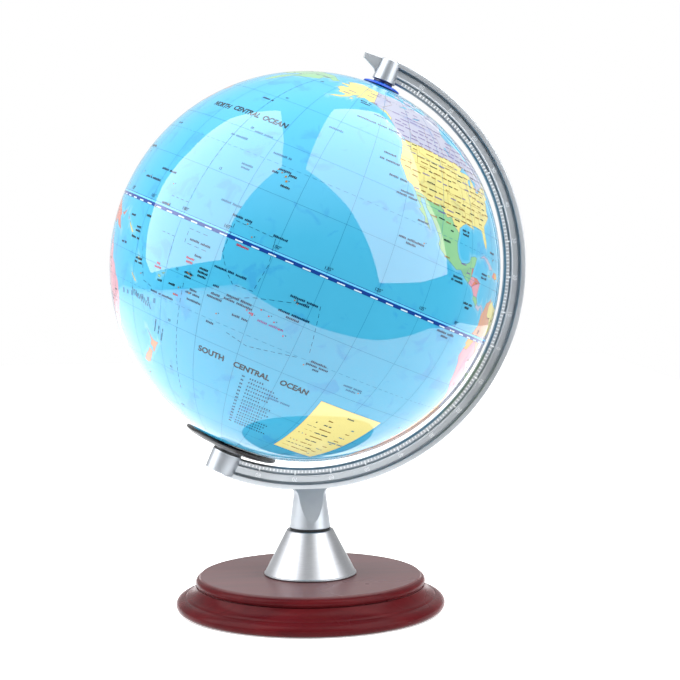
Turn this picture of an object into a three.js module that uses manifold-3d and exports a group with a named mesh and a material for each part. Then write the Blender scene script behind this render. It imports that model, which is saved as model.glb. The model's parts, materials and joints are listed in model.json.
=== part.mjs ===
// Desktop globe on a turned wooden stand.
// Millimetres, +Z up. The origin is the centre of the base's underside, on the table top.
// A 250 mm ball turns on a steel axle that leans 23.5 degrees towards +X. A half-circle arm holds
// the axle at both ends, and its neck stands on a collar cone bolted through a wooden base.

import * as THREE from 'three';
import { mergeVertices } from 'three/addons/utils/BufferGeometryUtils.js';
import Module from 'manifold-3d';

const wasm = await Module();
wasm.setup();

// ---------------------------------------------------------------- driving dimensions

const TOUCH = 0.3;                        // gap left between pieces that rest on each other
const AXIS_TILT = THREE.MathUtils.degToRad(23.5);
const BALL_CENTRE = new THREE.Vector3(-1.7, 0, 222.4);

const BALL_R = 125;
const BALL_WALL = 2;
const POLE_HOLE_R = 8;
const BALL_SIDES = 36;
const BALL_STEPS = 9;                     // facets from the equator to a pole, outside
const SHELL_STEPS = 5;                    // and inside

const AXLE_R = 2.5;
const AXLE_END = 136.4;                   // distance of each axle end from the ball's centre
const AXLE_TAP_R = 1.55;
const AXLE_TAP_DEPTH = 8;
const SLEEVE_R = 2.9;                     // bore of the loose rings that the axle passes through
const BUSH_BORE_R = 2.6;                  // running fit on the axle

const ARM_INNER_R = 130.2;                // radii measured from the ball's centre
const RIB_INNER_R = 134.3;
const RIB_OUTER_R = 135.2;
const FLANGE_INNER_R = 140.2;
const ARM_OUTER_R = 143.8;
const WEB_HALF = 3.0;                     // half thicknesses along Y
const RIB_HALF = 3.6;
const FLANGE_HALF = 5.5;
const ARM_STEPS = 36;

const HUB_NEAR = 129;                     // distance of a hub's inner face from the ball's centre
const NORTH_HUB_FAR = 143;
const SOUTH_HUB_FAR = 142.6;
const NORTH_HUB_R = 7.7;
const NORTH_HUB_TOP_R = 6.8;
const SOUTH_HUB_R = 9.8;
const HUB_BORE_R = AXLE_R + TOUCH;
const HUB_STEP = AXLE_END + 0.2;          // where the bore widens for the axle screw's head
const HUB_POCKET_R = 4.6;
const CAP_THICK = 3;                      // plug that closes a hub's pocket

const BASE_FLOOR_Z = 0.6;                 // wood stands this far off the table, on its felt
const BASE_TOP_Z = 22.8;
const BASE_R = 87.4;                      // widest radius, of the rounded foot
const FOOT_ROUND = 7.4;
const FOOT_ROUND_Z = 4.4;
const FOOT_SQUASH = 0.68;                 // the foot's curve is lower than a circle
const COVE_R = 83.6;                      // centre and radius of the hollow
const COVE_Z = 19.4;
const COVE_ROUND = 9.8;
const BEAD_R = 74.6;                      // outer radius of the bead under the top
const BEAD_Z = 18.8;
const BEAD_ROUND = 2.8;
const TOP_R = 71.8;
const FELT_R = 80;
const FELT_THICK = 1.2;
const BOLT_R = 3;
const BOLT_HOLE_R = BOLT_R + TOUCH;
const COUNTERBORE_R = 11;
const COUNTERBORE_Z = 9;

const COLLAR_FOOT_R = 30;
const COLLAR_TOP_R = 15.3;
const COLLAR_TOP_Z = 52.3;
const COLLAR_WALL = 1.6;
const COLLAR_DECK = 3;                    // thickness of the cone's top plate

const NECK_FOOT_R = 13.4;
const NECK_FOOT_Z = 53.6;
const NECK_TOP_R = 9.8;
const NECK_TOP_Z = 81;
const NECK_FLAT_Z = 79.3;                 // the slanted flats start here, at the flange's faces
const NECK_FLAT_SLOPE = Math.tan(THREE.MathUtils.degToRad(19));
const INSERT_R = 4.5;
const INSERT_FOOT_Z = 54.6;
const INSERT_TOP_Z = 70.5;

// ---------------------------------------------------------------- finishes

function finish(color, roughness, metalness) {
  return new THREE.MeshStandardMaterial({ color, roughness, metalness });
}

const MAP_BLUE = finish(0x3fb6e8, 0.15, 0);
const SATIN_SILVER = finish(0xb8bcc0, 0.4, 0.7);
const BRUSHED_ALUMINIUM = finish(0xc9ccd2, 0.3, 1);
const MAHOGANY = finish(0x5a1a1c, 0.45, 0);
const GREEN_FELT = finish(0x2c4a38, 0.95, 0);
const BLACK_PLASTIC = finish(0x101012, 0.4, 0);
const NAVY_PLASTIC = finish(0x0b1550, 0.4, 0);
const DIAL_BLUE = finish(0x1a5fe0, 0.3, 0);
const STEEL = finish(0x9a9da1, 0.35, 1);
const BRASS = finish(0xb08d3e, 0.35, 1);
const NYLON = finish(0xe8e6df, 0.5, 0);

// ---------------------------------------------------------------- geometry helpers

// A closed triangle mesh that holds only positions: shared corners merged, empty triangles dropped.
function closed(source) {
  const bare = source.clone();
  bare.deleteAttribute('normal');
  bare.deleteAttribute('uv');
  const merged = mergeVertices(bare, 1e-4);
  const corners = merged.index.array;
  const kept = [];
  for (let i = 0; i < corners.length; i += 3) {
    const [a, b, c] = corners.subarray(i, i + 3);
    if (a !== b && b !== c && c !== a) kept.push(a, b, c);
  }
  merged.setIndex(kept);
  return merged;
}

function solid(geometry) {
  const mesh = closed(geometry);
  return new wasm.Manifold(new wasm.Mesh({
    numProp: 3,
    vertProperties: new Float32Array(mesh.attributes.position.array),
    triVerts: new Uint32Array(mesh.index.array),
  }));
}

function geometryOf(manifold) {
  const { vertProperties, triVerts } = manifold.getMesh();
  const geometry = new THREE.BufferGeometry();
  geometry.setAttribute('position', new THREE.BufferAttribute(vertProperties, 3));
  geometry.setIndex(new THREE.BufferAttribute(triVerts, 1));
  return geometry;
}

// A body turned about Z from [radius, height] pairs, listed anticlockwise. A profile that starts
// off the axis is joined back to its first pair.
function turned(pairs, sides = 24) {
  const profile = pairs.map(([radius, height]) => new THREE.Vector2(radius, height));
  if (pairs[0][0] > 0) profile.push(profile[0].clone());
  return closed(new THREE.LatheGeometry(profile, sides).rotateX(Math.PI / 2));
}

function tube(innerR, outerR, low, high, sides = 24) {
  return turned([[innerR, low], [outerR, low], [outerR, high], [innerR, high]], sides);
}

function rod(radius, low, high, sides = 24) {
  return turned([[0, low], [radius, low], [radius, high], [0, high]], sides);
}

// Pairs along a circular arc of a profile, angles in degrees from the outward direction.
function arc(centreR, centreZ, radius, from, to, steps) {
  const pairs = [];
  for (let i = 0; i <= steps; i += 1) {
    const angle = THREE.MathUtils.degToRad(from + (to - from) * i / steps);
    pairs.push([centreR + radius * Math.cos(angle), centreZ + radius * Math.sin(angle)]);
  }
  return pairs;
}

// The same profile at the other pole of the axle.
function southern(pairs) {
  return pairs.map(([radius, height]) => [radius, -height]).reverse();
}

// An outline in the X-Z plane, given thickness evenly to both sides of it.
function plate(shape, halfThickness, curveSegments = 8) {
  const options = { depth: 2 * halfThickness, bevelEnabled: false, curveSegments };
  const geometry = new THREE.ExtrudeGeometry(shape, options);
  return geometry.translate(0, 0, -halfThickness).rotateX(Math.PI / 2);
}

function outline(pairs) {
  return new THREE.Shape(pairs.map(([x, y]) => new THREE.Vector2(x, y)));
}

function part(name, geometry, material) {
  const mesh = new THREE.Mesh(geometry, material);
  mesh.name = name;
  return mesh;
}

// ---------------------------------------------------------------- base

// Ovolo foot, cove and bead, with a recess for the felt and a counterbored bolt hole.
function woodBase() {
  const recessR = FELT_R + 0.4;
  const recessZ = FELT_THICK + TOUCH;
  const foot = arc(BASE_R - FOOT_ROUND, 0, FOOT_ROUND, -30, 60, 4)
    .map(([radius, height]) => [radius, FOOT_ROUND_Z + height * FOOT_SQUASH]);
  const cove = arc(COVE_R, COVE_Z, COVE_ROUND, 250, 200, 3);
  const bead = arc(BEAD_R - BEAD_ROUND, BEAD_Z, BEAD_ROUND, -65, 75, 4);
  return turned([
    [BOLT_HOLE_R, COUNTERBORE_Z],
    [COUNTERBORE_R, COUNTERBORE_Z],
    [COUNTERBORE_R, recessZ],
    [recessR, recessZ],
    [recessR, BASE_FLOOR_Z],
    [84.5, BASE_FLOOR_Z],
    ...foot,
    [81.2, 9.2],
    ...cove,
    [73.2, 15.9],
    ...bead,
    [TOP_R, BASE_TOP_Z],
    [BOLT_HOLE_R, BASE_TOP_Z],
  ], 40);
}

function clampBolt() {
  const bolt = solid(turned([
    [0, 1.6], [4.6, 1.6], [6, 2.6], [6, 5.1], [BOLT_R, 5.1], [BOLT_R, 68.4], [2.4, 69], [0, 69],
  ]));
  const socket = solid(rod(2.3, 0, 3.6, 6));
  return geometryOf(bolt.subtract(socket));
}

function springWasher() {
  const ring = solid(tube(BOLT_HOLE_R, 5.6, 5.4, 6.9));
  const split = new THREE.BoxGeometry(8, 0.8, 4).rotateX(0.5).translate(4, 0, 6.2);
  return geometryOf(ring.subtract(solid(split)));
}

function collarCone() {
  return turned([
    [COLLAR_FOOT_R - COLLAR_WALL, BASE_TOP_Z + TOUCH],
    [COLLAR_FOOT_R, BASE_TOP_Z + TOUCH],
    [COLLAR_TOP_R, COLLAR_TOP_Z - 0.5],
    [COLLAR_TOP_R - 0.5, COLLAR_TOP_Z],
    [BOLT_HOLE_R, COLLAR_TOP_Z],
    [BOLT_HOLE_R, COLLAR_TOP_Z - COLLAR_DECK],
    [COLLAR_TOP_R - COLLAR_WALL, COLLAR_TOP_Z - COLLAR_DECK],
  ], 40);
}

// ---------------------------------------------------------------- arm

function halfRing(innerR, outerR, halfThickness) {
  const shape = new THREE.Shape();
  shape.absarc(0, 0, outerR, -Math.PI / 2, Math.PI / 2, false);
  shape.absarc(0, 0, innerR, Math.PI / 2, -Math.PI / 2, true);
  return solid(plate(shape, halfThickness, ARM_STEPS));
}

// The flat pointer on the north hub. X runs along the equator's plane and Z along the axle.
function pointerFin() {
  const shape = outline([
    [-3, 142.9], [-18.3, 141.7], [-17.9, 138.3], [-8.8, 134.3], [-7.8, 132.7], [-3, 131.5],
  ]);
  return solid(plate(shape, 1.6));
}

// Half circle with its two hubs, standing about the ball's centre with the axle along Z.
function armBow() {
  const northHub = solid(turned([
    [0, HUB_NEAR], [NORTH_HUB_R, HUB_NEAR], [NORTH_HUB_TOP_R, NORTH_HUB_FAR], [0, NORTH_HUB_FAR],
  ]));
  const southHub = solid(rod(SOUTH_HUB_R, -SOUTH_HUB_FAR, -HUB_NEAR));
  const bore = solid(rod(HUB_BORE_R, -HUB_STEP, HUB_STEP));
  const northPocket = solid(rod(HUB_POCKET_R, HUB_STEP, NORTH_HUB_FAR + 1));
  const southPocket = solid(rod(HUB_POCKET_R, -SOUTH_HUB_FAR - 1, -HUB_STEP));
  return halfRing(ARM_INNER_R, FLANGE_INNER_R + 1, WEB_HALF)
    .add(halfRing(RIB_INNER_R, RIB_OUTER_R, RIB_HALF))
    .add(halfRing(FLANGE_INNER_R, ARM_OUTER_R, FLANGE_HALF))
    .add(northHub)
    .add(southHub)
    .add(pointerFin())
    .subtract(bore)
    .subtract(northPocket)
    .subtract(southPocket);
}

// Round neck, cut by a slanted flat in front and behind where it meets the thinner arm.
function neck() {
  const cone = solid(turned([
    [0, NECK_FOOT_Z], [NECK_FOOT_R, NECK_FOOT_Z], [NECK_TOP_R, NECK_TOP_Z], [0, NECK_TOP_Z],
  ], 32));
  const footHalf = FLANGE_HALF + (NECK_FLAT_Z - NECK_FOOT_Z) * NECK_FLAT_SLOPE;
  const wedge = plate(outline([
    [-footHalf, NECK_FOOT_Z], [footHalf, NECK_FOOT_Z], [FLANGE_HALF, NECK_FLAT_Z],
    [FLANGE_HALF, NECK_TOP_Z + 1], [-FLANGE_HALF, NECK_TOP_Z + 1], [-FLANGE_HALF, NECK_FLAT_Z],
  ]), NECK_FOOT_R + 1);
  return cone.intersect(solid(wedge.rotateZ(Math.PI / 2)));
}

function meridianArm() {
  const bow = closed(geometryOf(armBow())).rotateY(AXIS_TILT).translate(...BALL_CENTRE);
  const insertHole = solid(rod(INSERT_R + TOUCH, NECK_FOOT_Z - 1, INSERT_TOP_Z + TOUCH));
  return geometryOf(solid(bow).add(neck()).subtract(insertHole));
}

// ---------------------------------------------------------------- ball

// Upper half of the ball's shell, open at the equator and round the axle.
function hemisphere() {
  const seam = 0.15;
  const innerR = BALL_R - BALL_WALL;
  const poleAngle = THREE.MathUtils.radToDeg(Math.acos(POLE_HOLE_R / BALL_R));
  const outer = arc(0, 0, BALL_R, 0, poleAngle, BALL_STEPS).slice(1);
  const inner = arc(0, 0, innerR, poleAngle, 0, SHELL_STEPS).slice(1, -1);
  const innerPole = [POLE_HOLE_R, Math.sqrt(innerR ** 2 - POLE_HOLE_R ** 2)];
  return [[innerR, seam], [BALL_R, seam], ...outer, innerPole, ...inner];
}

function poleBush() {
  return [
    [BUSH_BORE_R, 112], [6, 112], [6, 119.6], [12, 119.6],
    [12, 121.8], [POLE_HOLE_R - TOUCH, 121.8], [POLE_HOLE_R - TOUCH, 124.9], [BUSH_BORE_R, 124.9],
  ];
}

// ---------------------------------------------------------------- axle and its fittings

function axleRod() {
  const tap = AXLE_END - AXLE_TAP_DEPTH;
  return turned([
    [0, -tap], [AXLE_TAP_R, -tap], [AXLE_TAP_R, -AXLE_END], [AXLE_R, -AXLE_END],
    [AXLE_R, AXLE_END], [AXLE_TAP_R, AXLE_END], [AXLE_TAP_R, tap], [0, tap],
  ]);
}

// Pan-head screw with its head towards +Z, resting on the step in the hub.
function axleScrew() {
  const seat = HUB_STEP + TOUCH;
  const screw = solid(turned([
    [0, seat - 7], [AXLE_TAP_R - TOUCH, seat - 7], [AXLE_TAP_R - TOUCH, seat],
    [4, seat], [4, seat + 1.4], [3, seat + 2.1], [0, seat + 2.1],
  ], 20));
  const slot = new THREE.BoxGeometry(10, 0.9, 2).translate(0, 0, seat + 2.3);
  return geometryOf(screw.subtract(solid(slot)));
}

// Plug whose outer face is flush with a hub's end.
function hubCap(hubFar) {
  return [[0, hubFar - CAP_THICK], [HUB_POCKET_R - TOUCH, hubFar - CAP_THICK],
    [HUB_POCKET_R - TOUCH, hubFar], [0, hubFar]];
}

function hourDial() {
  return turned([
    [SLEEVE_R, 125.3], [9.5, 125.3], [12, 124.9], [12.2, 125.3],
    [12, 126], [9.5, 126.9], [6.8, 127.3], [SLEEVE_R, 127.3],
  ]);
}

// Shallow dish under the ball, listed as if it stood at the north pole.
function supportDish() {
  return [
    [SLEEVE_R, 126.4], [9, 126.4], [20, 125], [28, 123.2], [30.6, 122.3], [31, 122.6],
    [31, 123.4], [28.6, 124.8], [20, 126.5], [10, 127.4], [SLEEVE_R, 127.4],
  ];
}

// ---------------------------------------------------------------- assembly

const globeOnStand = new THREE.Group();

globeOnStand.add(
  part('felt_pad', rod(FELT_R, 0, FELT_THICK, 36), GREEN_FELT),
  part('wood_base', woodBase(), MAHOGANY),
  part('clamp_bolt', clampBolt(), STEEL),
  part('spring_washer', springWasher(), STEEL),
  part('flat_washer', tube(BOLT_HOLE_R, 9, 7.2, COUNTERBORE_Z - TOUCH), STEEL),
  part('collar_cone', collarCone(), BRUSHED_ALUMINIUM),
  part('seal_ring', tube(5, 13, COLLAR_TOP_Z + TOUCH, NECK_FOOT_Z - TOUCH), BLACK_PLASTIC),
  part('threaded_insert', tube(BOLT_HOLE_R, INSERT_R, INSERT_FOOT_Z, INSERT_TOP_Z), BRASS),
  part('meridian_arm', meridianArm(), SATIN_SILVER),
);

// Everything on the axle, built with the axle along Z and then leaned over.
const onAxle = new THREE.Group();
onAxle.position.copy(BALL_CENTRE);
onAxle.rotation.y = AXIS_TILT;
globeOnStand.add(onAxle);

const southScrew = part('axle_screw_south', axleScrew(), STEEL);
southScrew.rotation.x = Math.PI;

onAxle.add(
  part('axle_rod', axleRod(), STEEL),
  part('axle_screw_north', axleScrew(), STEEL),
  southScrew,
  part('hub_cap_north', turned(hubCap(NORTH_HUB_FAR)), SATIN_SILVER),
  part('hub_cap_south', turned(southern(hubCap(SOUTH_HUB_FAR))), SATIN_SILVER),
  part('north_hemisphere', turned(hemisphere(), BALL_SIDES), MAP_BLUE),
  part('south_hemisphere', turned(southern(hemisphere()), BALL_SIDES), MAP_BLUE),
  part('equator_ring', tube(119.2, 121.6, -6, 6, BALL_SIDES), NYLON),
  part('north_bush', turned(poleBush()), NYLON),
  part('south_bush', turned(southern(poleBush())), NYLON),
  part('hour_dial', hourDial(), DIAL_BLUE),
  part('north_spacer', tube(SLEEVE_R, 6.3, 127.6, HUB_NEAR - TOUCH), NAVY_PLASTIC),
  part('thrust_washer', tube(SLEEVE_R, 7, -126.1, -125.3), NYLON),
  part('support_dish', turned(southern(supportDish()), 32), BLACK_PLASTIC),
  part('south_collar', tube(SLEEVE_R, 9.5, -HUB_NEAR + TOUCH, -127.7), BLACK_PLASTIC),
);

export default globeOnStand;
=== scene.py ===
import json
import math
import random

import bmesh
import bpy
import numpy as np
from mathutils import Matrix, Vector, geometry

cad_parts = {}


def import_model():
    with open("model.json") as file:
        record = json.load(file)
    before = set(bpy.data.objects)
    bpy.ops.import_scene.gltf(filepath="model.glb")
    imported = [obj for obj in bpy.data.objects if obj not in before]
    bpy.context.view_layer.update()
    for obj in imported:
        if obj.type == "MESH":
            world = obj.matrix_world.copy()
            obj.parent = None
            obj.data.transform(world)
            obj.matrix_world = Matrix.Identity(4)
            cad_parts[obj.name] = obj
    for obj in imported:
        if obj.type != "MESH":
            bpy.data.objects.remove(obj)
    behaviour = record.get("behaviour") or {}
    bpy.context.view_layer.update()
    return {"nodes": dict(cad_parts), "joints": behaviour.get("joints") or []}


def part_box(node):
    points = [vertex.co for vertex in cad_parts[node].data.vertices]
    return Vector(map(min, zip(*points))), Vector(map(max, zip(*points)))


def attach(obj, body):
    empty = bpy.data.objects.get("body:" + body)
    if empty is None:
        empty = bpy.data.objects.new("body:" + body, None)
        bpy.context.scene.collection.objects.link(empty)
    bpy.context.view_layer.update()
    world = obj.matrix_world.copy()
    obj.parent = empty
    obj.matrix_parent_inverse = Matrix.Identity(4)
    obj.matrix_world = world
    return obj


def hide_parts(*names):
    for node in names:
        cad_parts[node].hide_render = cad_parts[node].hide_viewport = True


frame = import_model()

# ---------------------------------------------------------------- driving dimensions, in millimetres

MM = 0.001
SPIN = next(joint for joint in frame["joints"] if joint["name"] == "globe_spin")
BALL_CENTRE = Vector(SPIN["pos_m"]) / MM
AXLE = Vector(SPIN["axis"]).normalized()
TILT = math.atan2(AXLE.x, AXLE.z)
BALL_R = 125.0
SHELL = 2.0
POLE_HOLE_R = 8.0
SEAM_HALF = 0.15

FELT_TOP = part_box("felt_pad")[1].z / MM
WOOD_LOW, WOOD_TOP = (corner.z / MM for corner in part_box("wood_base"))
CONE_LOW, CONE_TOP = (corner.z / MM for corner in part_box("collar_cone"))
SEAL_LOW, SEAL_TOP = (corner.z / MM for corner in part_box("seal_ring"))

ARM_INNER, ARM_OUTER = 130.2, 143.8
WEB_HALF, RIB_HALF, FLANGE_HALF = 3.0, 3.6, 5.5
RIB = (134.3, 135.2)
FLANGE_R = 140.2

UPRIGHT = Matrix.Scale(MM, 4)
ON_AXLE = UPRIGHT @ Matrix.Translation(BALL_CENTRE) @ Matrix.Rotation(TILT, 4, "Y")


def linear(code):
    """A web colour such as #38b6e8 as linear red, green, blue, alpha."""
    channels = [int(code[k:k + 2], 16) / 255 for k in (1, 3, 5)]
    straight = [c / 12.92 if c <= 0.04045 else ((c + 0.055) / 1.055) ** 2.4 for c in channels]
    return (*straight, 1.0)


def scaled(colour, gain):
    return tuple(min(1.0, c * gain) for c in colour[:3]) + (1.0,)


# ---------------------------------------------------------------- camera

CAMERA_AZIMUTH, CAMERA_ELEVATION, CAMERA_ROLL = map(math.radians, (-7.885, 5.153, -0.39))
CAMERA_DISTANCE = 1273.755
CAMERA_SIDE = 20.287
CAMERA_AIM_Z = 175.298
LENS = 104.59


def make_camera():
    sin_a, cos_a = math.sin(CAMERA_AZIMUTH), math.cos(CAMERA_AZIMUTH)
    sin_e, cos_e = math.sin(CAMERA_ELEVATION), math.cos(CAMERA_ELEVATION)
    back = Vector((sin_a * cos_e, -cos_a * cos_e, sin_e))
    level = Vector((cos_a, sin_a, 0))
    upward = back.cross(level)
    right = level * math.cos(CAMERA_ROLL) + upward * math.sin(CAMERA_ROLL)
    up = upward * math.cos(CAMERA_ROLL) - level * math.sin(CAMERA_ROLL)
    aim = level * CAMERA_SIDE + Vector((0, 0, CAMERA_AIM_Z))
    data = bpy.data.cameras.new("camera")
    data.lens = LENS
    data.clip_start = 0.05
    camera = bpy.data.objects.new("camera", data)
    turn = Matrix((right, up, back)).transposed().to_4x4()
    camera.matrix_world = Matrix.Translation((aim + back * CAMERA_DISTANCE) * MM) @ turn
    bpy.context.scene.collection.objects.link(camera)
    bpy.context.scene.camera = camera


make_camera()

# ---------------------------------------------------------------- materials

MIX_COLOUR_INPUTS, MIX_COLOUR_OUTPUT = (0, 6, 7), 2     # a Mix node's factor, two colours and mixed colour


class Shader:
    """A material with one Principled shader and short helpers for its nodes."""

    def __init__(self, name, **constants):
        self.material = bpy.data.materials.new(name)
        self.material.use_nodes = True
        self.tree = self.material.node_tree
        self.principled = self.tree.nodes["Principled BSDF"]
        for key, value in constants.items():
            socket = key.replace("_", " ").title().replace("Ior", "IOR")
            self.principled.inputs[socket].default_value = value
        self.place = self.node("TexCoord").outputs["Object"]

    def node(self, kind, **settings):
        made = self.tree.nodes.new("ShaderNode" + kind)
        for key, value in settings.items():
            setattr(made, key, value)
        return made

    def link(self, output, target):
        self.tree.links.new(output, target)

    def stretched(self, scale):
        mapping = self.node("Mapping")
        mapping.inputs["Scale"].default_value = scale
        self.link(self.place, mapping.inputs["Vector"])
        return mapping.outputs["Vector"]

    def noise(self, scale, detail=3.0, place=None, distortion=0.0):
        noise = self.node("TexNoise")
        noise.inputs["Scale"].default_value = scale
        noise.inputs["Detail"].default_value = detail
        noise.inputs["Distortion"].default_value = distortion
        self.link(place or self.place, noise.inputs["Vector"])
        return noise.outputs["Fac"]

    def between(self, value, low, high, start=0.3, end=0.7):
        ranged = self.node("MapRange")
        ranged.inputs["From Min"].default_value = start
        ranged.inputs["From Max"].default_value = end
        ranged.inputs["To Min"].default_value = low
        ranged.inputs["To Max"].default_value = high
        self.link(value, ranged.inputs["Value"])
        return ranged.outputs["Result"]

    def mix(self, factor, first, second, blend="MIX"):
        mix = self.node("Mix", data_type="RGBA", blend_type=blend)
        for number, value in zip(MIX_COLOUR_INPUTS, (factor, first, second)):
            if isinstance(value, (int, float, tuple)):
                mix.inputs[number].default_value = value
            else:
                self.link(value, mix.inputs[number])
        return mix.outputs[MIX_COLOUR_OUTPUT]

    def colour(self, output):
        self.link(output, self.principled.inputs["Base Color"])

    def roughness(self, output):
        self.link(output, self.principled.inputs["Roughness"])

    def bump(self, height, strength, distance):
        bump = self.node("Bump")
        bump.inputs["Strength"].default_value = strength
        bump.inputs["Distance"].default_value = distance * MM
        self.link(height, bump.inputs["Height"])
        self.link(bump.outputs["Normal"], self.principled.inputs["Normal"])


def moulded(name, colour, tone, roughness, metallic=0.0, grain=900, bump=0.05, **constants):
    """A moulded or painted surface: two close tones, uneven gloss and a fine grain."""
    shader = Shader(name, metallic=metallic, **constants)
    cloud = shader.noise(45, 4)
    fine = shader.noise(grain, 2)
    tones = shader.mix(shader.between(cloud, 0, 1), linear(colour), linear(tone))
    shader.colour(shader.mix(shader.between(fine, 0.0, 0.25), tones, linear(tone)))
    shader.roughness(shader.between(cloud, roughness * 0.9, roughness * 1.12))
    shader.bump(fine, bump, 0.05)
    return shader.material


def turned_metal(name, colour, tone, roughness, rings=9000, bump=0.06):
    """Metal with the fine rings that spinning or turning leaves round an upright axis."""
    shader = Shader(name, metallic=1.0, anisotropic=0.35)
    rings_place = shader.stretched((0.02, 0.02, 1.0))
    lines = shader.noise(rings, 2, rings_place)
    cloud = shader.noise(38, 4)
    shader.colour(shader.mix(shader.between(lines, 0, 1), linear(colour), linear(tone)))
    shader.roughness(shader.between(cloud, roughness * 0.88, roughness * 1.12))
    shader.bump(lines, bump, 0.02)
    return shader.material


def stained_wood():
    """Mahogany stain over turned wood, with long pores, a satin lacquer and a painted pale sheen on the flat
    top.
    """
    shader = Shader("mahogany", ior=1.13, sheen_weight=0.27, sheen_roughness=0.22,
                    sheen_tint=(1.0, 0.72, 0.74, 1.0))
    along = shader.stretched((5.0, 90.0, 60.0))
    streaks = shader.noise(1.0, 6, along, 0.6)
    pores = shader.noise(9.0, 3, shader.stretched((14.0, 260.0, 200.0)))
    cloud = shader.noise(11, 3)
    base = shader.mix(shader.between(streaks, 0, 1), linear("#3a0a0f"), linear("#4c1115"))
    base = shader.mix(shader.between(cloud, 0.0, 0.5), base, linear("#400d10"))
    base = shader.mix(shader.between(pores, 0.55, 0.0, 0.25, 0.42), base, linear("#240609"))
    # painted sheen: the topmost band of height is mixed toward pale grey, standing in for the grazing
    # reflection on the flat top
    height = shader.node("SeparateXYZ")
    shader.link(shader.place, height.inputs[0])
    painted_top_sheen = shader.between(height.outputs["Z"], 0.0, 0.09, (WOOD_TOP - 1.5) * MM, (WOOD_TOP - 0.3) * MM)
    shader.colour(shader.mix(painted_top_sheen, base, linear("#c6bcbd")))
    shader.roughness(shader.between(cloud, 0.22, 0.29))
    shader.bump(pores, 0.08, 0.08)
    return shader.material


def woven_felt():
    shader = Shader("felt", roughness=0.95, sheen_weight=0.4)
    fibre = shader.noise(1400, 3, shader.stretched((1.0, 0.35, 1.0)), 0.8)
    shader.colour(shader.mix(shader.between(fibre, 0, 1), linear("#17402b"), linear("#2c6142")))
    shader.bump(fibre, 0.5, 0.25)
    return shader.material


GLOSS = {"ior": 1.6, "specular_tint": (1.0, 0.66, 0.62, 1.0)}


def printed_map():
    """Gloss-laminated print: the map's own tints under a faint cloudy relief and a paper mottle."""
    shader = Shader("printed_map", **GLOSS)
    tint = shader.node("Attribute", attribute_name="tint").outputs["Color"]
    mottle = shader.noise(70, 5)
    paper = shader.noise(1500, 2)
    shade = shader.mix(shader.between(mottle, 0.0, 0.5), (1.0, 1.0, 1.0, 1.0), (0.90, 0.96, 0.97, 1.0))
    relief = shader.between(shader.noise(60, 6, None, 0.9), 0.0, 1.0, 0.58, 0.66)
    shade = shader.mix(relief, shade, (0.80, 0.85, 0.97, 1.0))
    shader.colour(shader.mix(1.0, tint, shade, "MULTIPLY"))
    shader.roughness(shader.between(paper, 0.02, 0.035))
    shader.bump(mottle, 0.012, 0.3)
    return shader.material


def ink(name, colour, tone):
    """Printing ink under the same kind of gloss as the map."""
    shader = Shader(name, roughness=0.025, ior=1.52)
    spread = shader.noise(2500, 2)
    shader.colour(shader.mix(shader.between(spread, 0, 1), linear(colour), linear(tone)))
    return shader.material


FELT = woven_felt()
WOOD = stained_wood()
MAP = printed_map()
ALUMINIUM = turned_metal("aluminium", "#a2a4a8", "#96989c", 0.36)
SILVER = moulded("satin_silver", "#c0c5ca", "#b5babf", 0.36, metallic=0.92, grain=2600, bump=0.08)
# painted shade: a darker copy of the satin silver for the neck and hubs, standing in for the darker look of
# their round surfaces
SHADED_ROUND_SILVER = moulded("satin_silver_round_painted_shade", "#a4a9af", "#9a9fa5", 0.43, metallic=0.92, grain=2600, bump=0.08)
# painted shade: a darker silver on the arm's grooves and inner bevel, standing in for shade in these recesses
PAINTED_SHADE_SILVER = moulded("satin_silver_painted_groove_shade", "#a0a9b0", "#959ea5", 0.55, metallic=0.85, grain=2600)
MARK_SILVER = moulded("satin_silver_mark", "#e6e8ea", "#d9dcdf", 0.4, metallic=0.35, grain=2600)
BLUE = moulded("blue_plastic", "#0a3fa6", "#093794", 0.28, grain=1400, specular_ior_level=0.3)
# painted shade: a darker copy of the blue plastic for the narrow collar above the dial, standing in for shade
# on it
BLUE_IN_PAINTED_SHADE = moulded("navy_plastic", "#10205a", "#0c1848", 0.35, grain=1400)
BLACK = moulded("black_plastic", "#0c0d0f", "#111316", 0.3, grain=1400)
RUBBER = moulded("black_rubber", "#141416", "#1b1b1d", 0.6, grain=1800, bump=0.2)
NYLON = moulded("white_nylon", "#e9e7df", "#dddad0", 0.42, grain=1100)
STEEL = moulded("steel", "#8f9296", "#7c7f84", 0.3, metallic=1.0, grain=3000, bump=0.1)
BRASS = moulded("brass", "#c79b4a", "#b0853a", 0.32, metallic=1.0, grain=3000, bump=0.1)
DARK_INK = ink("ink_dark", "#0b2c47", "#103550")
BLACK_INK = ink("ink_black", "#0d1f28", "#132731")
BLUE_INK = ink("ink_blue", "#0a2c6a", "#0e3578")
LINE_INK = ink("ink_line", "#175d80", "#1d6789")
PALE_INK = ink("ink_pale", "#4f9fcb", "#5aa9d1")
WHITE_INK = ink("ink_white", "#a9bfcb", "#a0b6c3")
RED_INK = ink("ink_red", "#80263f", "#8c3048")
BROWN_INK = ink("ink_brown", "#6e5327", "#7d6133")
LILAC_INK = ink("ink_lilac", "#55487a", "#615385")
PAPER_INK = ink("ink_paper", "#b9b070", "#c2b978")
FAINT_INK = ink("ink_faint", "#1f597a", "#276384")

# ---------------------------------------------------------------- mesh helpers


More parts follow.
